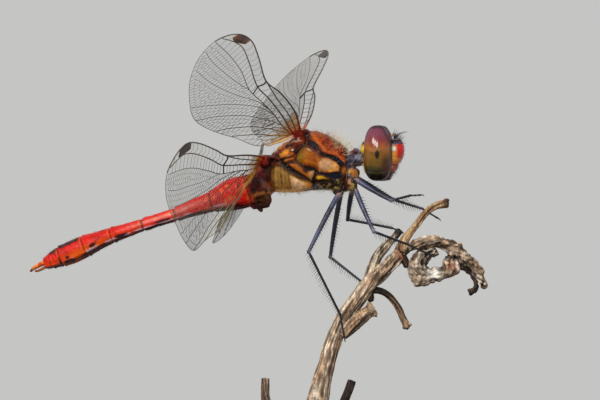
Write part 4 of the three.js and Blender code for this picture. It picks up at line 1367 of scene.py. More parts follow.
def build_legs():
    for name in LEGS:
        points, faces, normals = fuse(leg_parts(name), LEG_VOXEL, 2)
        points = points + normals * (0.008 * noise(points, 0.12, 62))[:, None]
        nodes = [f"{name}_{part}" for part in ("femur", "tibia", "tarsus")]
        piece(name + "_leg", points, faces, leg_tint(points, name), "black_cuticle", nodes)


build_tail()
build_legs()


# ---------------------------------------------------------------- wings

# Each wing's chart, in millimetres: along the span, then back across the wing. Front and rear
# are the edges from the root to the tip.
CHARTS = {
    "forewing": {
        "front": [
            (0, -0.1), (4.5, -0.45), (9.7, -0.17), (13.8, 0.42), (19, 0.0), (22.7, -0.2), (25.2, 0.2),
            (26.7, 0.95), (27.4, 1.75), (27.62, 2.5),
        ],
        "rear": [
            (0, 1.1), (1.1, 3.7), (5.5, 5.2), (11, 6.85), (15.3, 7.4), (20.4, 6.7), (23.9, 5.75),
            (26.3, 4.5), (27.35, 3.3), (27.62, 2.5),
        ],
        "nodus": 13.8,
        "arculus": 3.6,
        "stigma": (23.6, 26.0),
        "stain": 3.6,
        "subcosta": [(0, 0.3), (4.5, 0.15), (9.7, 0.35), (13.8, 0.42)],
        "radius": [
            (0, 0.7), (4.5, 0.7), (9.7, 0.95), (13.8, 1.3), (19, 0.92), (22.7, 0.75), (25.0, 1.15),
            (27.4, 1.9),
        ],
        "sector": [
            (0.4, 0.85), (3.6, 1.15), (7, 1.3), (10.5, 1.65), (14.5, 2.05), (19, 1.85), (23.5, 2.05),
            (27.4, 2.5),
        ],
        "veins": [
            [(14.3, 2.05), (17.5, 2.7), (21, 3.2), (24.5, 3.6), (26.7, 3.6)],
            [(8.0, 1.4), (11, 1.95), (14, 3.0), (17.5, 4.0), (21, 4.7), (24.4, 5.1)],
            [(6.2, 1.25), (9, 1.9), (12, 3.2), (15, 5.1), (17.6, 7.1)],
            [(3.6, 1.2), (6.2, 2.1), (9, 3.3), (12, 5.2), (14.3, 7.35)],
            [(0.4, 0.95), (2.8, 1.8), (5, 2.8), (7.4, 4.3), (9.6, 6.4)],
            [(0.3, 1.1), (1.8, 2.1), (3.4, 3.1), (5, 4.2), (6.4, 5.45)],
        ],
        "cross_ties": [[(4.6, 1.6), (4.9, 2.75)], [(6.1, 2.1), (4.9, 2.75)]],
        "nodal_ties": [[(13.8, 0.42), (13.6, 1.28)], [(13.6, 1.28), (13.1, 1.93)]],
    },
    "hindwing": {
        "front": [
            (0, 0), (5, 0.1), (10.8, 0.43), (14.7, 0.1), (19.6, -0.23), (22.9, -0.16), (24.6, 0.4),
            (25.9, 1.2), (26.65, 2.0), (26.93, 2.6),
        ],
        "rear": [
            (0, 1.0), (0.9, 4.2), (1.3, 7.2), (4.9, 8.3), (7.6, 9.45), (13.1, 8.6), (18.7, 7.06),
            (22.4, 5.9), (25.0, 4.75), (26.55, 3.5), (26.93, 2.6),
        ],
        "nodus": 10.8,
        "arculus": 3.2,
        "stigma": (22.5, 24.9),
        "stain": 3.2,
        "subcosta": [(0, 0.35), (5, 0.45), (8, 0.5), (10.8, 0.45)],
        "radius": [
            (0, 0.8), (5, 1.05), (10.8, 1.35), (14.7, 1.02), (19.6, 0.72), (22.9, 0.85), (24.8, 1.5),
            (26.6, 2.2),
        ],
        "sector": [
            (0.4, 0.95), (3.2, 1.4), (6.5, 1.65), (11, 2.1), (15, 1.98), (19.5, 1.9), (23, 2.15),
            (26.4, 2.75),
        ],
        "veins": [
            [(11.2, 2.1), (15, 2.95), (19, 3.5), (22.6, 4.0), (25.2, 4.1)],
            [(6.6, 1.65), (10, 2.6), (14, 4.0), (18.5, 5.0), (22.9, 5.6)],
            [(5, 1.5), (8, 2.7), (11.3, 4.9), (14, 6.8), (15.8, 7.9)],
            [(3.2, 1.45), (5.5, 2.7), (8.5, 4.8), (11, 7.0), (12.4, 8.7)],
            [(0.4, 1.1), (2.4, 2.3), (4.2, 4.2), (6.2, 6.7), (7.8, 9.4)],
            [(0.3, 1.2), (1.5, 2.8), (2.9, 5.0), (4.5, 7.0), (5.4, 8.5)],
            [(0.2, 1.3), (0.9, 3.0), (1.7, 5.2), (2.9, 7.7)],
        ],
        "cross_ties": [[(3.6, 1.6), (3.5, 3.3)], [(4.6, 2.2), (3.5, 3.3)]],
        "nodal_ties": [[(10.8, 0.43), (10.6, 1.34)], [(10.6, 1.34), (10.1, 2.03)]],
    },
}
# Half widths of the long veins at the root, and far out.
LONG_VEINS = {
    "front": (0.1, 0.055), "subcosta": (0.055, 0.05), "radius": (0.085, 0.045), "sector": (0.06, 0.028),
    "rear": (0.04, 0.022),
}
SETS_OF_VEINS = {"veins": (0.055, 0.02), "cross_ties": (0.035, 0.035), "nodal_ties": (0.075, 0.06)}
MEMBRANE = 0.012
MEMBRANE_ROWS, MEMBRANE_COLUMNS = 150, 40
STIGMA_HALF = 0.05
CELL_OUTER, CELL_INNER = 0.5, 0.85
# How many places are tried for cells away from the veins, and how far back they may lie.
SEED_TRIES = 9000
DEEPEST = 9.6
LONGEST_BORDER = 1.6
# The strong veins in front, and the heights of the corrugation at them.
STRONG_VEINS = ("front", "subcosta", "radius", "sector")
PLEATS = (0.1, -0.07, 0.12, -0.06)


def drawn(line, step=0.12):
    """A smooth line in the chart, at even steps."""
    line = np.asarray(line, float)
    dense = spline(line, np.linspace(0, 1, 40 * len(line)))
    gone = travelled(dense)
    even = np.linspace(0, gone[-1], max(3, int(gone[-1] / step) + 1))
    return np.stack([np.interp(even, gone, dense[:, i]) for i in range(2)], -1)


def across_at(line, u):
    """How far back a line runs at places along the span."""
    return np.interp(u, line[:, 0], line[:, 1])


def cell_size(place):
    """How wide the cells are: largest near the root."""
    return CELL_OUTER + (CELL_INNER - CELL_OUTER) * math.exp(-((place[0] / 6.5) ** 2))


def wing_rungs(chart, rng):
    """Cross veins between the strong veins in front, as pairs of ends in the chart."""
    front, subcosta, radius, sector = (drawn(chart[key]) for key in STRONG_VEINS)
    nodus, arculus, (stigma_in, stigma_out) = chart["nodus"], chart["arculus"], chart["stigma"]
    rungs = []
    ladders = (
        (front, subcosta, 1.4, nodus - 0.8, 1.5, 0.08),
        (subcosta, radius, 1.4, nodus - 0.3, 1.5, 0.08),
        (front, radius, nodus + 0.05, chart["front"][-2][0], 1.25, -0.05),
        (radius, sector, arculus + 0.6, chart["radius"][-1][0] - 0.4, 0.95, -0.12),
        (radius, sector, 1.6, arculus + 0.1, 2.0, 0.0),
    )
    for upper, lower, start, stop, step, slant in ladders:
        u = start
        while u < stop:
            in_stigma = upper is front and stigma_in - 0.3 < u < stigma_out + 0.2
            if not in_stigma:
                rungs.append([(u, across_at(upper, u)), (u + slant, across_at(lower, u + slant))])
            u += step * rng.uniform(0.82, 1.18)
    return rungs


class CellSeeds:
    """Seeds of the cells behind the sector, kept apart and inside the wing."""

    def __init__(self, chart):
        self.sector, self.rear = drawn(chart["sector"]), drawn(chart["rear"])
        self.reach = chart["front"][-1][0]
        self.places, self.ghosts, self.squares = [], [], {}

    def inside(self, place):
        u, v = place
        if not 0.25 < u < self.reach - 0.15:
            return False
        return across_at(self.sector, u) + 0.1 < v < across_at(self.rear, u) - 0.1

    def free(self, place, clear):
        i, j = int(place[0]), int(place[1])
        for square in np.ndindex(3, 3):
            for x, y in self.squares.get((i + square[0] - 1, j + square[1] - 1), ()):
                if (place[0] - x) ** 2 + (place[1] - y) ** 2 <= clear * clear:
                    return False
        return True

    def sow(self, place):
        self.places.append(place)
        self.squares.setdefault((int(place[0]), int(place[1])), []).append(place)

    def sow_along(self, line, ways, row, rng):
        """Pairs of seeds astride a vein, or single ones with a ghost beyond it, so that a border
        of the cells falls on it."""
        ahead = unit(np.gradient(line, axis=0))
        beside = np.stack([-ahead[:, 1], ahead[:, 0]], -1)
        gone, due = 0.0, 0.3
        for i in range(1, len(line)):
            gone += np.linalg.norm(line[i] - line[i - 1])
            if gone < due:
                continue
            size = cell_size(line[i])
            due = gone + size * rng.uniform(0.9, 1.1)
            wanted = [line[i] + way * beside[i] * size * row for way in ways]
            if all(self.free(place, 0.7 * size) and self.inside(place) for place in wanted):
                for place in wanted:
                    self.sow(place)
                if len(ways) == 1 and row < 1:
                    self.ghosts.append(2 * line[i] - wanted[0])

    def fill(self, rng):
        for _ in range(SEED_TRIES):
            place = np.array([rng.uniform(0, self.reach), rng.uniform(0, DEEPEST)])
            if self.inside(place) and self.free(place, 0.8 * cell_size(place)):
                self.sow(place)


def cell_borders(seeds):
    """The borders between cells grown from seeds: lines between the middles of the circles
    through neighbouring threes of them."""
    real = len(seeds.places)
    sown = [Vector(place) for place in seeds.places + seeds.ghosts]
    corners, _, triangles, _, _, _ = delaunay_2d_cdt(sown, [], [], 0, 1e-6)
    corners = np.array([tuple(corner) for corner in corners])
    triangles = np.array([tuple(triangle) for triangle in triangles if len(triangle) == 3])
    a = corners[triangles[:, 0]]
    (bx, by), (cx, cy) = ((corners[triangles[:, i]] - a).T for i in (1, 2))
    twice = 2 * (bx * cy - by * cx)
    twice = np.where(np.abs(twice) < 1e-9, 1e-9, twice)
    bb, cc = bx**2 + by**2, cx**2 + cy**2
    centre = a + np.stack([cy * bb - by * cc, bx * cc - cx * bb], -1) / twice[:, None]
    sides = {}
    for index, triangle in enumerate(triangles.tolist()):
        for i in range(3):
            pair = tuple(sorted((triangle[i], triangle[(i + 1) % 3])))
            sides.setdefault(pair, []).append(index)
    borders = [shared for pair, shared in sides.items() if len(shared) == 2 and max(pair) < real]
    return centre[np.array(borders)]


def wing_net(chart, rng):
    """The cross veins of one wing, as pairs of ends in the chart: rungs in front, and behind them
    the borders of cells, without those that lie along a long vein."""
    rungs = wing_rungs(chart, rng)
    seeds = CellSeeds(chart)
    veins = [drawn(line) for line in chart["veins"]]
    lines = [(seeds.sector, (1,))] + [(vein, (1, -1)) for vein in veins] + [(seeds.rear, (-1,))]
    for row in (0.5, 1.45):
        for line, ways in lines:
            seeds.sow_along(line, ways, row, rng)
    seeds.fill(rng)
    ends = cell_borders(seeds)
    along_vein = np.full(len(ends), np.inf)
    for vein in veins:
        both = line_distance(ends[:, 0], vein) + line_distance(ends[:, 1], vein)
        along_vein = np.minimum(along_vein, both)
    short = np.linalg.norm(ends[:, 0] - ends[:, 1], axis=1) < LONGEST_BORDER
    for pair in ends[short & (along_vein > 0.12)]:
        u = np.clip(pair[:, 0], 0.15, seeds.reach - 0.05)
        v = np.clip(pair[:, 1], across_at(seeds.sector, u), across_at(seeds.rear, u))
        rungs.append([(u[0], v[0]), (u[1], v[1])])
    return rungs


def pleat(chart, u, v):
    """The wing's corrugation: how far a place stands out of the chart's plane."""
    folds = [across_at(drawn(chart[key]), u) for key in STRONG_VEINS]
    folds[1] = np.where(u > chart["nodus"], 0.5 * (folds[0] + folds[2]), folds[1])
    total = np.full(len(u), PLEATS[0])
    for low, high, this, then in zip(folds[:-1], folds[1:], PLEATS[:-1], PLEATS[1:]):
        total += (then - this) * np.clip((v - low) / np.maximum(high - low, 0.05), 0, 1)
    behind = np.maximum(v - folds[3], 0)
    folded = total * np.exp(-behind / 0.7) + 0.035 * np.sin(behind * 3.6) * np.exp(-u / 14)
    reach = chart["front"][-1][0]
    return folded * smooth(reach, reach - 3, u)


def wing_frame(wing, side):
    """Directions of one wing: out along its span, back and down."""
    sweep_back, rise = math.radians(wing["sweep"]), math.radians(wing["dihedral"])
    out = math.cos(rise)
    span = np.array([-math.sin(sweep_back) * out, side * math.cos(sweep_back) * out, math.sin(rise)])
    back = unit(np.array([-1.0, 0, 0]) + span[0] * span)
    return span, back, np.cross(back, span) * side


def on_wing(name, places):
    """Points and up directions in the insect's frame for places (along, back) in a wing's chart."""
    wing, side, chart = WINGS[name], wing_side(name), wing_chart(name)
    shape = places.shape[:-1]
    u, v = places.reshape(-1, 2).T
    span, back, down = wing_frame(wing, side)
    droop = np.radians(wing["droop"] + wing["twist"] * u / WING_SPAN)[:, None]
    chord = back * np.cos(droop) + down * np.sin(droop)
    up = np.cross(span, chord) * side
    height = pleat(chart, u, v)
    points = mirrored(wing["root"], side) + span * u[:, None] + chord * v[:, None] + up * height[:, None]
    return points.reshape(*shape, 3), up.reshape(*shape, 3)


def wing_side(name):
    return -1 if name.endswith("right") else 1


def wing_chart(name):
    return CHARTS[name.split("_")[0]]


def sheet(name, places, half):
    """A closed sheet over a grid of places on a wing, standing out by half to each side of it."""
    middle, up = on_wing(name, places)
    rings = np.concatenate([middle + up * half, (middle - up * half)[:, ::-1]], 1)
    return tube(rings if wing_side(name) > 0 else rings[:, ::-1])


def tint_places(name, places):
    """The place in the chart that each point of a sheet takes its tint from. On a right wing the
    front and rear edges change places, so its tint runs the other way across the wing."""
    if wing_side(name) < 0:
        places = places[:, ::-1]
    charted = np.concatenate([places, places[:, ::-1]], 1).reshape(-1, 2)
    return np.concatenate([charted, places[:1].mean(1), places[-1:].mean(1)])


def rod_chain(points, ups, radii):
    """Four-sided rods through rows of points: points is (rods, stations, 3)."""
    along = unit(np.gradient(points, axis=1))
    beside = unit(np.cross(ups, along))
    ups = np.cross(along, beside)
    radii = np.asarray(radii)[..., None]
    corners = [points + beside * radii, points + ups * radii, points - beside * radii, points - ups * radii]
    return np.stack(corners, 2).reshape(-1, 3), chain_faces(*points.shape[:2], 4)


def build_membrane(name):
    """The clear membrane: one thin closed sheet, stained amber at the root."""
    chart = wing_chart(name)
    share = np.linspace(0.004, 1, MEMBRANE_ROWS)
    front, rear = (spline(chart[key], share)[:, None] for key in ("front", "rear"))
    blend = np.linspace(0, 1, MEMBRANE_COLUMNS)[None, :, None]
    places = front * (1 - blend) + rear * blend
    points, faces = sheet(name, places, MEMBRANE / 2)
    charted = tint_places(name, places)
    u, v = charted.T
    edge = np.hypot(u, 0.75 * (v - 0.6)) + 0.35 * noise(charted, 0.8, 71)
    stain = smooth(chart["stain"], 0.35 * chart["stain"], edge) * (0.35 + 0.65 * smooth(0.3, 1.3, v))
    root = np.hypot(u, v)
    tint = layered(
        plain("#4c4a36", len(points)),
        ("#d4a616", stain),
        ("#d0700e", smooth(2.8, 1.4, root) * 0.85),
        ("#b03c0e", smooth(1.6, 0.6, root) * 0.8),
    )
    cover = 0.04 + 0.04 * smooth(4, 14, u) + 0.55 * stain + 0.25 * smooth(1.4, 0.5, root)
    tint = np.concatenate([tint, cover[:, None]], 1)
    piece(name + "_membrane", points, faces, tint, "wing_membrane", [name])


def vein_tint(places):
    """Dark brown veins, orange-red at the root and amber behind it, by place in the chart."""
    u, v = np.repeat(places.reshape(-1, 2), 4, 0).T
    root = np.hypot(u, 0.8 * v)
    return layered(
        plain("#2a2118", len(u)),
        ("#5c5342", smooth(13, 20, u)),
        ("#140e0a", smooth(15, 9, u) * smooth(2.5, 1.0, v) * 0.8),
        ("#5a3412", smooth(9, 5, root) * 0.6),
        ("#7e2c10", smooth(3.4, 1.4, root) * 0.9),
        ("#b03a14", smooth(1.7, 0.6, root) * 0.9),
        ("#7a7250", smooth(3.4, 5.2, v) * smooth(8, 5, u) * 0.85),
        ("#be8812", smooth(3.8, 2.4, root) * smooth(0.6, 1.6, v) * 0.85),
    )


def build_veins(name, net):
    """Long veins, thick in front and at the root, then the net between them."""
    chart = wing_chart(name)
    lines = [(chart[key], halves) for key, halves in LONG_VEINS.items()]
    lines += [(line, halves) for key, halves in SETS_OF_VEINS.items() for line in chart[key]]
    parts, tints = [], []
    for line, (thick, thin) in lines:
        path = drawn(line, 0.22)
        if line is chart["radius"]:
            path = path[path[:, 0] < chart["front"][-1][0] - 0.3]
        middle, up = on_wing(name, path)
        radii = thin + (thick - thin) * np.exp(-path[:, 0] / 11)
        parts.append(rod_chain(middle[None], up[None], radii[None]))
        tints.append(vein_tint(path))
    ends = np.array(net)
    stations = np.stack([ends[:, 0], ends.mean(1), ends[:, 1]], 1)
    u, v = stations[..., 0], stations[..., 1]
    middle, up = on_wing(name, stations)
    radii = (0.013 + 0.018 * np.exp(-u / 7)) * (0.55 if name == "hindwing_left" else 1.0)
    radii = radii * (1 - 0.5 * smooth(2.8, 5, v) * smooth(9, 5, u))
    parts.append(rod_chain(middle, up, radii))
    tints.append(vein_tint(stations))
    points, faces = join(parts)
    piece(name + "_veins", points, faces, np.concatenate(tints), "wing_vein", [name])


def build_stigma(name):
    """The dark cell at the front edge near the tip."""
    chart = wing_chart(name)
    rows, columns = 26, 9
    along = np.linspace(*chart["stigma"], rows)
    inner, outer = across_at(drawn(chart["radius"]), along), across_at(drawn(chart["front"]), along)
    belly = np.sin(np.linspace(0.35, math.pi - 0.35, rows)) ** 0.5
    slope = np.linspace(-0.12, 0.12, columns)[None, :]
    blend = np.linspace(0.02, 0.98, columns)[None, :]
    v = outer[:, None] * (1 - blend) + (outer + (inner - outer) * belly)[:, None] * blend
    u = np.broadcast_to(along[:, None] + slope, v.shape)
    points, faces = sheet(name, np.stack([u, v], -1), STIGMA_HALF)
    end = near(np.abs(np.linspace(-1, 1, rows)) - 1, 0.45)
    end = np.concatenate([np.repeat(end, 2 * columns), end[:1], end[-1:]])
    # The right forewing's stigma is painted lighter, as lit, and the other three darker, as shaded.
    middle_tone, end_tone = ("#3c1d0a", "#8a4a1c") if name == "forewing_right" else ("#201410", "#3a2018")
    tint = layered(plain(middle_tone, len(points)), (end_tone, end * 0.8 + 0.3 * noise(points, 0.5, 72)))
    piece(name + "_pterostigma", points, faces, tint, "wing_vein", [name])


def build_wings():
    nets = {kind: wing_net(CHARTS[kind], np.random.default_rng(seed)) for seed, kind in enumerate(CHARTS)}
    for name in WINGS:
        build_membrane(name)
        build_veins(name, nets[name.split("_")[0]])
        build_stigma(name)


build_wings()


# ---------------------------------------------------------------- hairs and bristles

# How deep a hair's foot sits in the skin, and how much of its thickness is gone at its tip.
HAIR_FOOT = 0.03
HAIR_TAPER = 0.88
# How wide a hair's patch is in the bake map.
HAIR_PATCH = 0.003
BRISTLE_THICK = 0.032
# The rows of bristles on each part of a leg: the part's radius there, their spacing, their
# length and where the first one stands.
BRISTLE_ROWS = ((0.2, 0.3, 0.4, 0.25), (0.11, 0.235, 0.68, 0.06), (0.075, 0.16, 0.16, 0.05))


def surface_spots(skin, count, weight, rng):
    """Random places on a skin and its normals there, chosen by a weight for each face."""
    points, quads = skin
    corners = points[quads]
    middle = corners.mean(1)
    normal = unit(np.cross(corners[:, 2] - corners[:, 0], corners[:, 3] - corners[:, 1]))
    chance = weight(middle, normal)
    chosen = rng.choice(len(quads), size=count, p=chance / chance.sum())
    share = rng.dirichlet((1, 1, 1, 1), size=count)
    return (corners[chosen] * share[..., None]).sum(1), normal[chosen]


def shades(rng, text, low, high, count):
    """One colour for each hair, from low to high times as light as the given one."""
    return colour(text) * rng.uniform(low, high, (count, 1))


def trunk_chart(points):
    """An unwrap of the trunk: along it, and round it."""
    turn = np.arctan2(points[:, 1], points[:, 2] + 0.4) / (2.02 * math.pi)
    return np.stack([(points[:, 0] + 26) / 33, 0.5 + turn], -1)


def head_chart(points):
    """An unwrap of the head: round it from chin to crown, and across it."""
    away = points - [6.4, 0, 0.5]
    turn = np.arctan2(away[:, 2], away[:, 0]) / (2.02 * math.pi)
    return np.stack([0.5 + turn, 0.5 + away[:, 1] / 4.2], -1)


def grow_hairs(name, spots, ways, lengths, thick, tint, nodes, charted, bend, steps=4):
    """Tapered three-sided hairs from spots along ways, bending by bend of their length. In the
    bake map each hair is a small patch at its root's charted place."""
    ways = unit(ways)
    t = np.linspace(0, 1, steps)
    reach = lengths[:, None, None] * t[None, :, None]
    middle = (spots - HAIR_FOOT * ways)[:, None] + ways[:, None] * reach
    middle = middle + bend[:, None] * reach * t[None, :, None]
    beside = unit(np.cross(ways, ways[:, [1, 2, 0]] + 0.1))
    other = np.cross(ways, beside)
    c, s = np.cos(circle(3))[None, :, None], np.sin(circle(3))[None, :, None]
    ring = beside[:, None] * c + other[:, None] * s
    radius = thick[:, None, None, None] * (1 - HAIR_TAPER * t)[None, :, None, None]
    points = (middle[:, :, None] + ring[:, None] * radius).reshape(-1, 3)
    place = charted[:, None, None] + np.zeros((len(spots), steps, 3, 2))
    place[..., 0] += HAIR_PATCH * (np.arange(3) / 2 - 0.5)
    place[..., 1] += HAIR_PATCH * (t[None, :, None] - 0.5)
    place = np.clip(place.reshape(-1, 2), 0, 1)
    faces = chain_faces(len(spots), steps, 3)
    piece(name, points, faces, np.repeat(tint, steps * 3, 0), "fine_hair", nodes, chart=place)


def on_chest(middle, normal):
    """Where the thorax has its hairs: most on the front of the back, the shoulders and below."""
    x, z, facing = middle[:, 0], middle[:, 2], normal[:, 2]
    top = smooth(0.25, 0.6, facing) * smooth(-0.2, 0.6, x) * smooth(4.6, 4.0, x)
    shoulder = 0.5 * region(middle[:, [0, 2]], DORSAL_BAND, 0.2)
    below = 1.3 * smooth(-0.3, -0.7, facing) * smooth(-3.0, -2.6, x) * smooth(-2.0, -2.3, z)
    flank = 0.14 * smooth(-3.2, -2.9, x) * smooth(4.6, 4.2, x)
    between = 0.7 * smooth(0.4, 0.7, facing) * smooth(-3.4, -3.0, x) * smooth(0.2, -0.3, x)
    return top + shoulder + below + flank + between + 1e-6


def on_abdomen(middle, normal):
    """Where the abdomen has its hairs: all over, with more below and at the tail."""
    x = middle[:, 0]
    return smooth(-3.4, -4.2, x) * (1 + 1.2 * smooth(0, -0.7, normal[:, 2]) + 2 * smooth(-21.5, -23, x))


def on_face(middle, _):
    x, z = middle[:, 0], middle[:, 2]
    return smooth(7.2, 7.7, x) * (0.7 + 1.6 * smooth(1.55, 1.85, z) + 0.8 * smooth(0.1, -0.4, z)) + 1e-6


def on_nape(middle, _):
    return smooth(5.9, 5.5, middle[:, 0]) + 1e-6


def build_thorax_hair(rng, count=1000):
    spots, normal = surface_spots(trunk, count, on_chest, rng)
    x, z = spots[:, 0], spots[:, 2]
    lie = normal + rng.normal(0, 0.34, spots.shape) + np.array([0.2, 0, 0.15])
    upper = smooth(-0.2, 0.5, normal[:, 2])
    lengths = 0.26 + 0.75 * upper * smooth(1.0, 2.8, x) + 0.16 * upper + 0.2 * smooth(-1.8, -2.3, z)
    lengths = lengths * rng.uniform(0.55, 1.15, count)
    pale = shades(rng, "#f2e6b8", 0.7, 1.1, count)
    rust = shades(rng, "#b06824", 0.5, 1.2, count)
    share = (upper * smooth(2.8, 1.6, x))[:, None] * 0.9
    tint = pale * (1 - share) + rust * share
    thick = rng.uniform(0.01, 0.017, count)
    bend = rng.normal(0, 0.12, spots.shape) + [0.05, 0, 0.05]
    nodes = ["thorax", "prothorax"]
    grow_hairs("thorax_hair", spots, lie, lengths, thick, tint, nodes, trunk_chart(spots), bend)


def build_abdomen_hair(rng, count=2600):
    spots, normal = surface_spots(trunk, count, on_abdomen, rng)
    lie = normal * 0.8 + np.array([-0.8, 0, -0.25]) + rng.normal(0, 0.15, spots.shape)
    tint = shades(rng, "#2a1512", 0.5, 1.6, count)
    lengths = rng.uniform(0.1, 0.26, count)
    thick = rng.uniform(0.006, 0.009, count)
    bend = np.tile([-0.15, 0, -0.05], (count, 1))
    nodes = ["abdomen_3", "abdomen_8"]
    grow_hairs("abdomen_hair", spots, lie, lengths, thick, tint, nodes, trunk_chart(spots), bend)


def build_face_bristles(rng, count=340):
    spots, normal = surface_spots(head, count, on_face, rng)
    z = spots[:, 2]
    rising = np.array([0.1, 0, 0.35]) * smooth(0.2, 1.2, z)[:, None]
    lie = normal + rng.normal(0, 0.22, spots.shape) + rising
    lengths = 0.2 + 0.36 * smooth(1.5, 2.0, z) + 0.12 * smooth(0, -0.6, z)
    lengths = lengths * rng.uniform(0.6, 1.3, count)
    tint = shades(rng, "#2a1a16", 0.6, 2.0, count)
    thick = rng.uniform(0.008, 0.012, count)
    bend = rng.normal(0, 0.1, spots.shape) + [0, 0, 0.1]
    grow_hairs("face_bristles", spots, lie, lengths, thick, tint, ["face"], head_chart(spots), bend)


def build_nape_hair(rng, count=420):
    spots, normal = surface_spots(head, count, on_nape, rng)
    tint = shades(rng, "#d8cfae", 0.6, 1.1, count)
    lie = normal + rng.normal(0, 0.25, spots.shape)
    lengths = rng.uniform(0.15, 0.4, count)
    thick = rng.uniform(0.007, 0.01, count)
    bend = rng.normal(0, 0.12, spots.shape)
    grow_hairs("nape_hair", spots, lie, lengths, thick, tint, ["head"], head_chart(spots), bend)


def bristle_rows(name, rng):
    """Roots, ways, lengths and charted places of one leg's bristles, in two rows under each part."""
    stops = leg_stops(name)
    thigh, shin = unit(stops[1] - stops[0]), unit(stops[2] - stops[1])
    fold = unit(np.cross(np.cross(thigh, shin), thigh))
    spots, ways, lengths, charts = [], [], [], []
    for part, (radius, pitch, long, first) in enumerate(BRISTLE_ROWS):
        start = stops[part]
        along = unit(stops[part + 1] - start)
        inner = fold if part == 0 else unit(fold - along * (fold @ along))
        beside = np.cross(along, inner)
        length = np.linalg.norm(stops[part + 1] - start)
        at = first * length if part == 0 else first
        while at < length - 0.08:
            for row in (-1, 1):
                out = unit(inner * (0.75 if part == 0 else -0.75) + row * beside * 0.8)
                swell = 0.55 + 0.45 * math.sin(math.pi * min(at / length + 0.15, 1))
                spots.append(start + along * (at + rng.uniform(-0.03, 0.03)) + out * radius * 0.85)
                ways.append(out + along * 0.62 + rng.normal(0, 0.06, 3))
                lengths.append(long * swell * rng.uniform(0.85, 1.15))
                charts.append(((part + at / length) / 3.01, 0.5 + 0.25 * row))
            at += pitch
    return [np.array(values) for values in (spots, ways, lengths, charts)]


def build_leg_bristles():
    """Bristles under every leg, longest on the shin."""
    rng = np.random.default_rng(13)
    for name in LEGS:
        spots, ways, lengths, charts = bristle_rows(name, rng)
        count = len(spots)
        thick, bend = np.full(count, BRISTLE_THICK), np.tile([0, 0, 0.02], (count, 1))
        tint, nodes = plain("#0d0c0f", count), [name + "_tibia"]
        grow_hairs(name + "_bristles", spots, ways, lengths, thick, tint, nodes, charts, bend, steps=5)


body_draws = np.random.default_rng(11)
build_thorax_hair(body_draws)
build_abdomen_hair(body_draws)
head_draws = np.random.default_rng(12)
build_face_bristles(head_draws)
build_nape_hair(head_draws)
build_leg_bristles()


# ---------------------------------------------------------------- dry perch

# As in the solids, in the shared frame: route, half widths across the view, and half heights
# where they differ.
PERCH = {
    "stem": (
        [
            (-0.55, 0, 5.6), (-0.4, 0, 6.9), (-0.05, 0, 8.6), (0.47, 0, 10.4), (1.12, 0, 12.4),
            (2.0, 0, 14.3), (3.1, 0, 15.95), (4.15, 0, 17.3), (5.1, 0, 18.3), (6.15, 0, 19.2),
            (7.1, 0, 20.15),
        ],
        [0.95, 1, 0.85, 0.76, 0.7, 0.7, 0.72, 0.74, 0.66, 0.62, 0.62],
    ),
    "twig_top": (
        [(7, 0, 20.2), (7.4, 0, 21.3), (8.45, -0.1, 22.7), (9.3, -0.2, 23.75), (10.2, -0.3, 24.35),
         (11.2, -0.3, 24.55)],
        [0.6, 0.4, 0.32, 0.3, 0.32, 0.4],
    ),
    "twig_left": (
        [(4.1, 0.3, 17.5), (4.5, 0.4, 18.9), (5.05, 0.4, 20.0), (5.9, 0.3, 20.93), (6.6, 0.2, 21.64),
         (7.0, 0.15, 22.2)],
        [0.48, 0.46, 0.42, 0.42, 0.4, 0.36],
    ),
    "stub": (
        [(1.75, -0.1, 12.8), (2.8, -0.4, 13.8), (3.75, -0.4, 14.6), (4.65, -0.4, 15.2)],
        [0.5, 0.62, 0.6, 0.5],
    ),
    "twig_lower": (
        [(3.9, 0.2, 16.7), (5, 0.3, 16.77), (6, 0.3, 16.3), (6.8, 0.3, 15.3), (7.2, 0.3, 14.4),
         (7.65, 0.3, 13.5)],
        [0.34, 0.28, 0.28, 0.3, 0.3, 0.34],
    ),
    "twig_spur": ([(4.1, 0.2, 16.9), (4.35, 0.2, 16.2), (4.3, 0.2, 15.75)], [0.32, 0.3, 0.26]),
    "twig_thorn": ([(7.1, 0, 19.8), (7.45, 0, 19.3), (7.6, 0, 18.8)], [0.4, 0.32, 0.26]),
    "shoot_right": (
        [(-0.2, 0, 5.95), (1.0, 0, 6.0), (1.75, 0, 6.5), (2.25, 0, 7.5), (2.68, 0, 8.75)],
        [0.42, 0.4, 0.4, 0.38, 0.36],
    ),
    "shoot_left": (
        [(-1.1, 0, 6.1), (-2.9, 0, 5.6), (-4.4, 0, 6.0), (-5.04, 0, 7.2), (-5.04, 0, 8.95)],
        [0.45, 0.42, 0.4, 0.38, 0.36],
    ),
    "leaf_arm": (
        [(7.2, 0, 20.3), (8.4, 0, 20.85), (10.3, 0, 21.1), (11.4, 0, 20.8), (12.45, 0, 20.05),
         (13.4, 0, 19.05), (14.05, 0, 18), (14.6, 0, 17.1)],
        [0.5, 0.75, 0.95, 1, 0.95, 0.75, 0.45, 0.36],
        [0.45, 0.42, 0.45, 0.55, 0.6, 0.5, 0.34, 0.32],
    ),
    "leaf_curl": (
        [(11.96, 0.1, 19.86), (11.5, 0.1, 19.0), (10.95, 0, 18.4), (10.0, 0, 18.1), (9.0, 0, 18.0),
         (8.5, 0, 18.6), (8.7, 0, 19.35), (9.4, 0, 20.0), (10.2, 0, 20.35)],
        [0.6, 0.85, 0.9, 0.9, 0.85, 0.8, 0.7, 0.6, 0.45],
        [0.45, 0.68, 0.66, 0.68, 0.82, 0.85, 0.8, 0.55, 0.38],
    ),
    "leaf_stalk": (
        [(12.2, 0.1, 19.5), (13, 0.1, 18.6), (13.7, 0.1, 17.7), (13.65, 0.1, 17), (13.15, 0.1, 16.65)],
        [0.27, 0.26, 0.26, 0.26, 0.34],
    ),
}
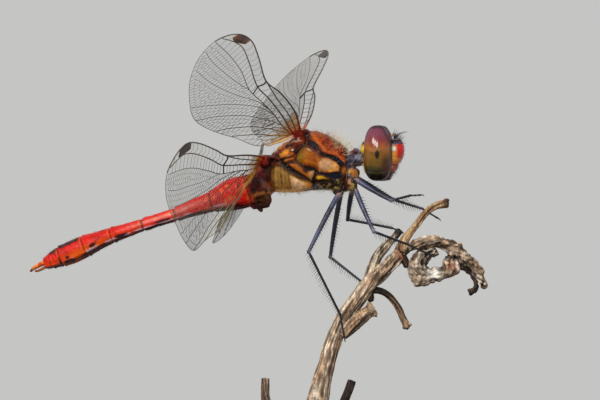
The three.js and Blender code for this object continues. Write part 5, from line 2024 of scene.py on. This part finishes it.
# How each is drawn: rows, points round it, the lengths over which its ends are rounded, the
# heights of its coarse and fine ribs, the depth of its splits, its twist in each millimetre, and
# its light, middle, dark and stained colours.
BARE_WOOD = "#5a4636 #33271e #1c1511 #2c211a"
SHOOTS = {
    "stem": (320, 120, (0.0, 0.25), 0.12, 0.07, 0.3, 0.12, "#f2e2cc #b4967a #3c2c20 #7e6048"),
    "twig_top": (150, 56, (0.1, 0.2), 0.04, 0.025, 0.03, 0.2, "#e0c098 #b88c5c #7a5230 #a87848"),
    "twig_left": (130, 60, (0.1, 0.15), 0.07, 0.04, 0.1, 0.3, "#f0e4d0 #c8b294 #54402f #6a5442"),
    "stub": (120, 84, (0.1, 0.12), 0.05, 0.03, 0.05, 0.1, "#ecd6ba #bc9878 #6a4c36 #8a6a50"),
    "twig_lower": (140, 48, (0.1, 0.15), 0.05, 0.03, 0.05, 0.4, "#b89878 #85664c #2c211a #5c4636"),
    "twig_spur": (50, 40, (0.1, 0.2), 0.05, 0.03, 0.05, 0.2, BARE_WOOD),
    "twig_thorn": (50, 40, (0.1, 0.2), 0.05, 0.03, 0.05, 0.2, BARE_WOOD),
    "shoot_right": (110, 48, (0.1, 0.06), 0.05, 0.03, 0.05, 0.3, "#4a3a2e #241b16 #120d0b #1c1511"),
    "shoot_left": (150, 48, (0.1, 0.06), 0.05, 0.04, 0.05, 0.3, "#b09884 #7c6250 #3c2c22 #5a4434"),
    "leaf_arm": (240, 90, (0.1, 0.2), 0.13, 0.07, 0.18, 0.8, "#f0e0cc #a88c70 #3c2c20 #80553a"),
    "leaf_curl": (280, 100, (0.15, 0.2), 0.17, 0.09, 0.2, 0.5, "#f4ece0 #bca68c #4a3628 #95603c"),
    "leaf_stalk": (110, 44, (0.1, 0.18), 0.05, 0.03, 0.04, 0.6, "#8a7058 #4a3a2e #221a15 #6a4a38"),
}
# Marks on the curled leaf: colour, place across and up, width and how much of it there is.
CURL_MARKS = (
    ("#f4efe8", 9.95, 18.25, 0.6, 0.9), ("#9a5230", 11.5, 18.95, 0.45, 0.85),
    ("#15100d", 8.5, 18.75, 0.25, 0.9), ("#15100d", 11.1, 19.8, 0.28, 0.9),
)
# The way that the painted shade on the shoots faces: below and in front, away from the lamps.
SHADE_SIDE = np.array([0.62, 0, -0.78])


def raised(rings, height):
    return rings + ring_normals(rings) * height[..., None]


def fibrous(name, rows, around, ends, coarse, fine, splits, twist):
    """Rings of a dry shoot with ribs, splits and lumps, and for each of their points its height
    on the ribs and on the fine threads, how cracked it is and how far along it lies."""
    route, *halves = PERCH[name]
    rings = sweep(route, *halves, rows=rows, around=around, ends=ends)
    share = np.broadcast_to(np.linspace(0, 1, rows)[:, None], (rows, around))
    gone = share * travelled(np.array(route))[-1]
    angle = circle(around) + twist * gone
    fibre = np.stack([np.cos(angle), np.sin(angle), gone * 0.22], -1)
    seed = 80 + list(PERCH).index(name)
    ribs = noise(fibre, 0.42, seed)
    threads = noise(fibre * [1, 1, 0.8], 0.16, seed + 20)
    lumps = noise(rings, 0.9, seed + 40)
    crack = patches(0.3, 0.7, fibre * [1, 1, 0.7], 0.5, seed + 60)
    depth = coarse * ribs + fine * threads + 0.6 * coarse * lumps - splits * crack
    return raised(rings, depth), ribs, threads, crack, share


def crumpled(rings):
    """A leaf with folds, creases and a jag under its curl, and the height of its folds."""
    folds = noise(rings, 1.1, 131) + 0.6 * noise(rings, 0.5, 132)
    creases = np.abs(noise(rings, 0.42, 137)) - 0.25
    jag = 0.35 * blob(rings[..., 0] - 8.4, rings[..., 2] - 17.3, 0.35)
    return raised(rings, 0.2 * folds + 0.26 * creases + jag), folds


def hooped(rings, ribs, crack, share):
    """The stub with hoops round it and a thick rim, and the cracks beside them, darkened partly as painted
    shade.
    """
    hoops = np.sin(share * 110 + 3.5 * ribs + 2 * noise(rings, 0.5, 135)) * smooth(0.2, 0.4, share)
    rim = 1.5 * near(share - 0.9, 0.07) * (1 + 0.8 * noise(rings, 0.35, 136))
    # The dark added between the hoops and just below the rim is partly painted shade in these hollows.
    crack = crack + 0.35 * smooth(-0.3, -0.9, hoops) + 0.5 * near(share - 0.8, 0.03)
    return raised(rings, 0.016 * hoops + 0.12 * rim), np.clip(crack, 0, 1)


def burred(rings, share):
    """A shoot with a ragged far end."""
    return raised(rings, smooth(0.9, 0.98, share) * (0.12 + 0.16 * noise(rings, 0.22, 133)))


def own_marks(name, place, share):
    """Coats of colour that only this one of the shoots has."""
    x, z = place[:, 0], place[:, 2]
    if name == "twig_left":
        # Its own dark bands, and a painted shadow of the holding foot over its tip.
        bands = patches(0.3, 0.7, place, 0.45, 134) * 0.75 + smooth(0.72, 0.82, share) * 0.95
        return [("#1a1a20", bands)]
    if name == "stem":
        return [("#b47858", smooth(0.9, 0.97, share) * 0.8)]
    if name == "twig_top":
        return [("#4a2f20", smooth(0.8, 0.95, share) * 0.85), ("#2a1c14", smooth(0.1, 0.0, share) * 0.7)]
    if name == "twig_lower":
        return [("#17110e", smooth(0.5, 0.35, share) * 0.9)]
    if name == "leaf_curl":
        return [(text, blob(x - at, z - up, width) * most) for text, at, up, width, most in CURL_MARKS]
    return []


def build_shoot(name):
    *shape, colours = SHOOTS[name]
    light, middle, dark, stained = colours.split()
    rings, ribs, threads, crack, share = fibrous(name, *shape)
    leafy = name.startswith("leaf")
    if leafy:
        rings, folds = crumpled(rings)
    if name == "stub":
        rings, crack = hooped(rings, ribs, crack, share)
    if name in ("twig_top", "leaf_stalk", "twig_lower"):
        rings = burred(rings, share)
    shade_facing = (ring_normals(rings) @ SHADE_SIDE).ravel()
    stain = np.roll(ribs, 7, 0).ravel()
    ribs, threads = ribs.ravel(), threads.ravel()
    # Light on the raised ribs, dark in the low threads and near black in the splits: partly the shoots' own
    # colour, partly painted light and shade on their relief.
    tint = layered(
        plain(middle, len(ribs)),
        (light, smooth(-0.1, 0.5, ribs) * 0.9),
        (dark, smooth(0.1, -0.5, threads) * 0.75),
        (stained, smooth(0.2, 0.7, stain - 0.4 * threads) * 0.6),
        ("#1d140e", crack.ravel() * 0.85),
        # Painted shade on the sides that face below and in front.
        ("#1e150f", smooth(0.35, 0.95, shade_facing + 0.2 * threads) * 0.8),
        *own_marks(name, rings.reshape(-1, 3), share.ravel()),
    )
    if leafy:
        tint = layered(tint, ("#3a2a20", smooth(0.1, -0.6, folds.ravel()) * 0.7))
    tint = np.concatenate([tint, tint[:1], tint[-1:]])
    points, faces = tube(rings)
    piece(name + "_dry", points, faces, tint, "dry_leaf" if leafy else "dry_stem", [name], as_is)


# ---------------------------------------------------------------- display stand


def box_of(node):
    """A node's lowest and highest corners in millimetres."""
    return [np.array(corner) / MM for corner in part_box(node)]


def build_turned(name, profile, slot, node, around):
    """A closed piece turned about the upright axis through a node's middle, from (radius, height)
    pairs, bottom first."""
    c, s = np.cos(circle(around)), np.sin(circle(around))
    rings = np.array([np.stack([r * c, r * s, np.full(around, z)], -1) for r, z in profile])
    points, faces = tube(rings)
    middle = sum(box_of(node)) / 2
    piece(name, points + [middle[0], middle[1], 0], faces, None, slot, [node], as_is)


def build_stand():
    low, high = box_of("stand_base")
    radius, height = (high[0] - low[0]) / 2, high[2]
    bead = [(radius - 0.9 * (1 - math.cos(a)), 1.3 + 0.9 * math.sin(a)) for a in np.linspace(-1.2, 1.2, 13)]
    out, up = radius - 1.3, height - 0.85
    cove = [(out + 0.5 * math.cos(a), up + 0.75 * math.sin(a)) for a in np.linspace(-0.9, 1.35, 12)]
    foot = [(0.5, 0.0), (radius - 1.4, 0.0), (radius - 0.7, 0.12)]
    dish = height - 0.02
    top = [(radius - 2.2, height), (radius * 0.6, dish), (3.0, dish), (0.5, dish)]
    build_turned("stand_base_turned", foot + bead + cove + top, "stand_wood", "stand_base", 128)

    low, high = box_of("stand_rod")
    radius, top = (high[0] - low[0]) / 2, high[2]
    foot = [(0.1, low[2]), (radius, low[2]), (radius, height)]
    collar = [(1.3, 0), (1.4, 0.3), (0.9, 0.7), (0.15, 0.85), (0, 1.0)]
    collar = [(radius + out, height + up) for out, up in collar]
    shaft = [(radius, z) for z in np.linspace(height + 1.2, top - 0.1, 14)]
    tip = [(radius - 0.1, top), (0.1, top)]
    build_turned("stand_rod_brass", foot + collar + shaft + tip, "stand_brass", "stand_rod", 64)


for shoot in SHOOTS:
    build_shoot(shoot)
build_stand()


# ---------------------------------------------------------------- floor, light and camera

CAMERA_AT = (-1.964 * MM, -0.4, 24.857 * MM)
LENS = 268.8
FLOOR_REACH = 60.0
SKY = 0.56 * np.array([1.0, 1.0, 0.985])
SUN = 3.3
SUN_TONE = (1.0, 0.965, 0.91)
SUN_SOFTNESS = math.radians(18)
# The lamp is a broad one: three neighbouring soft discs, turned and raised by these degrees.
SUN_TURN, SUN_RISE = 240.0, 37.0
SUN_DISCS = ((-25, 3), (0, 0), (25, -3))


def sun_beams():
    """The ways from the scene to each disc of the lamp."""
    beams = []
    for turn, rise in SUN_DISCS:
        turned, raised_by = math.radians(SUN_TURN + turn), math.radians(SUN_RISE + rise)
        level = math.cos(raised_by)
        beams.append(Vector((math.cos(turned) * level, math.sin(turned) * level, math.sin(raised_by))))
    return beams


def build_floor(beams):
    """A pale floor that meets the sky without a seam: its own paleness is what gives it the
    sky's brightness under sky and lamp together."""
    fall = sum(beam.z for beam in beams) / len(beams)
    paleness = SKY / (SKY + SUN * np.array(SUN_TONE) * fall / math.pi)
    material = bpy.data.materials.new("floor")
    material.use_nodes = True
    shader = material.node_tree.nodes["Principled BSDF"]
    shader.inputs["Base Color"].default_value = (*paleness, 1)
    shader.inputs["Roughness"].default_value = 1.0
    shader.inputs["Specular IOR Level"].default_value = 0.0
    mesh = bpy.data.meshes.new("floor")
    corners = [(-1, -1), (1, -1), (1, 1), (-1, 1)]
    mesh.from_pydata([(x * FLOOR_REACH, y * FLOOR_REACH, 0) for x, y in corners], [], [(0, 1, 2, 3)])
    mesh.materials.append(material)
    add_object("floor", mesh)


def build_sky():
    world = bpy.data.worlds.new("studio")
    world.use_nodes = True
    world.node_tree.nodes["Background"].inputs["Color"].default_value = (*SKY, 1)
    bpy.context.scene.world = world
    bpy.context.scene.view_settings.view_transform = "Standard"


def build_lamps(beams):
    for beam in beams:
        lamp = bpy.data.lights.new("key", "SUN")
        lamp.energy = SUN / len(beams)
        lamp.angle = SUN_SOFTNESS
        lamp.color = SUN_TONE
        add_object("key", lamp).rotation_euler = beam.to_track_quat("Z", "Y").to_euler()


def build_camera():
    camera = bpy.data.cameras.new("camera")
    camera.sensor_width = 36.0
    camera.lens = LENS
    camera.clip_start, camera.clip_end = 0.01, 200.0
    eye = add_object("camera", camera)
    eye.location = CAMERA_AT
    eye.rotation_euler = (math.pi / 2, 0, 0)
    bpy.context.scene.camera = eye


beams = sun_beams()
build_floor(beams)
build_sky()
build_lamps(beams)
build_camera()
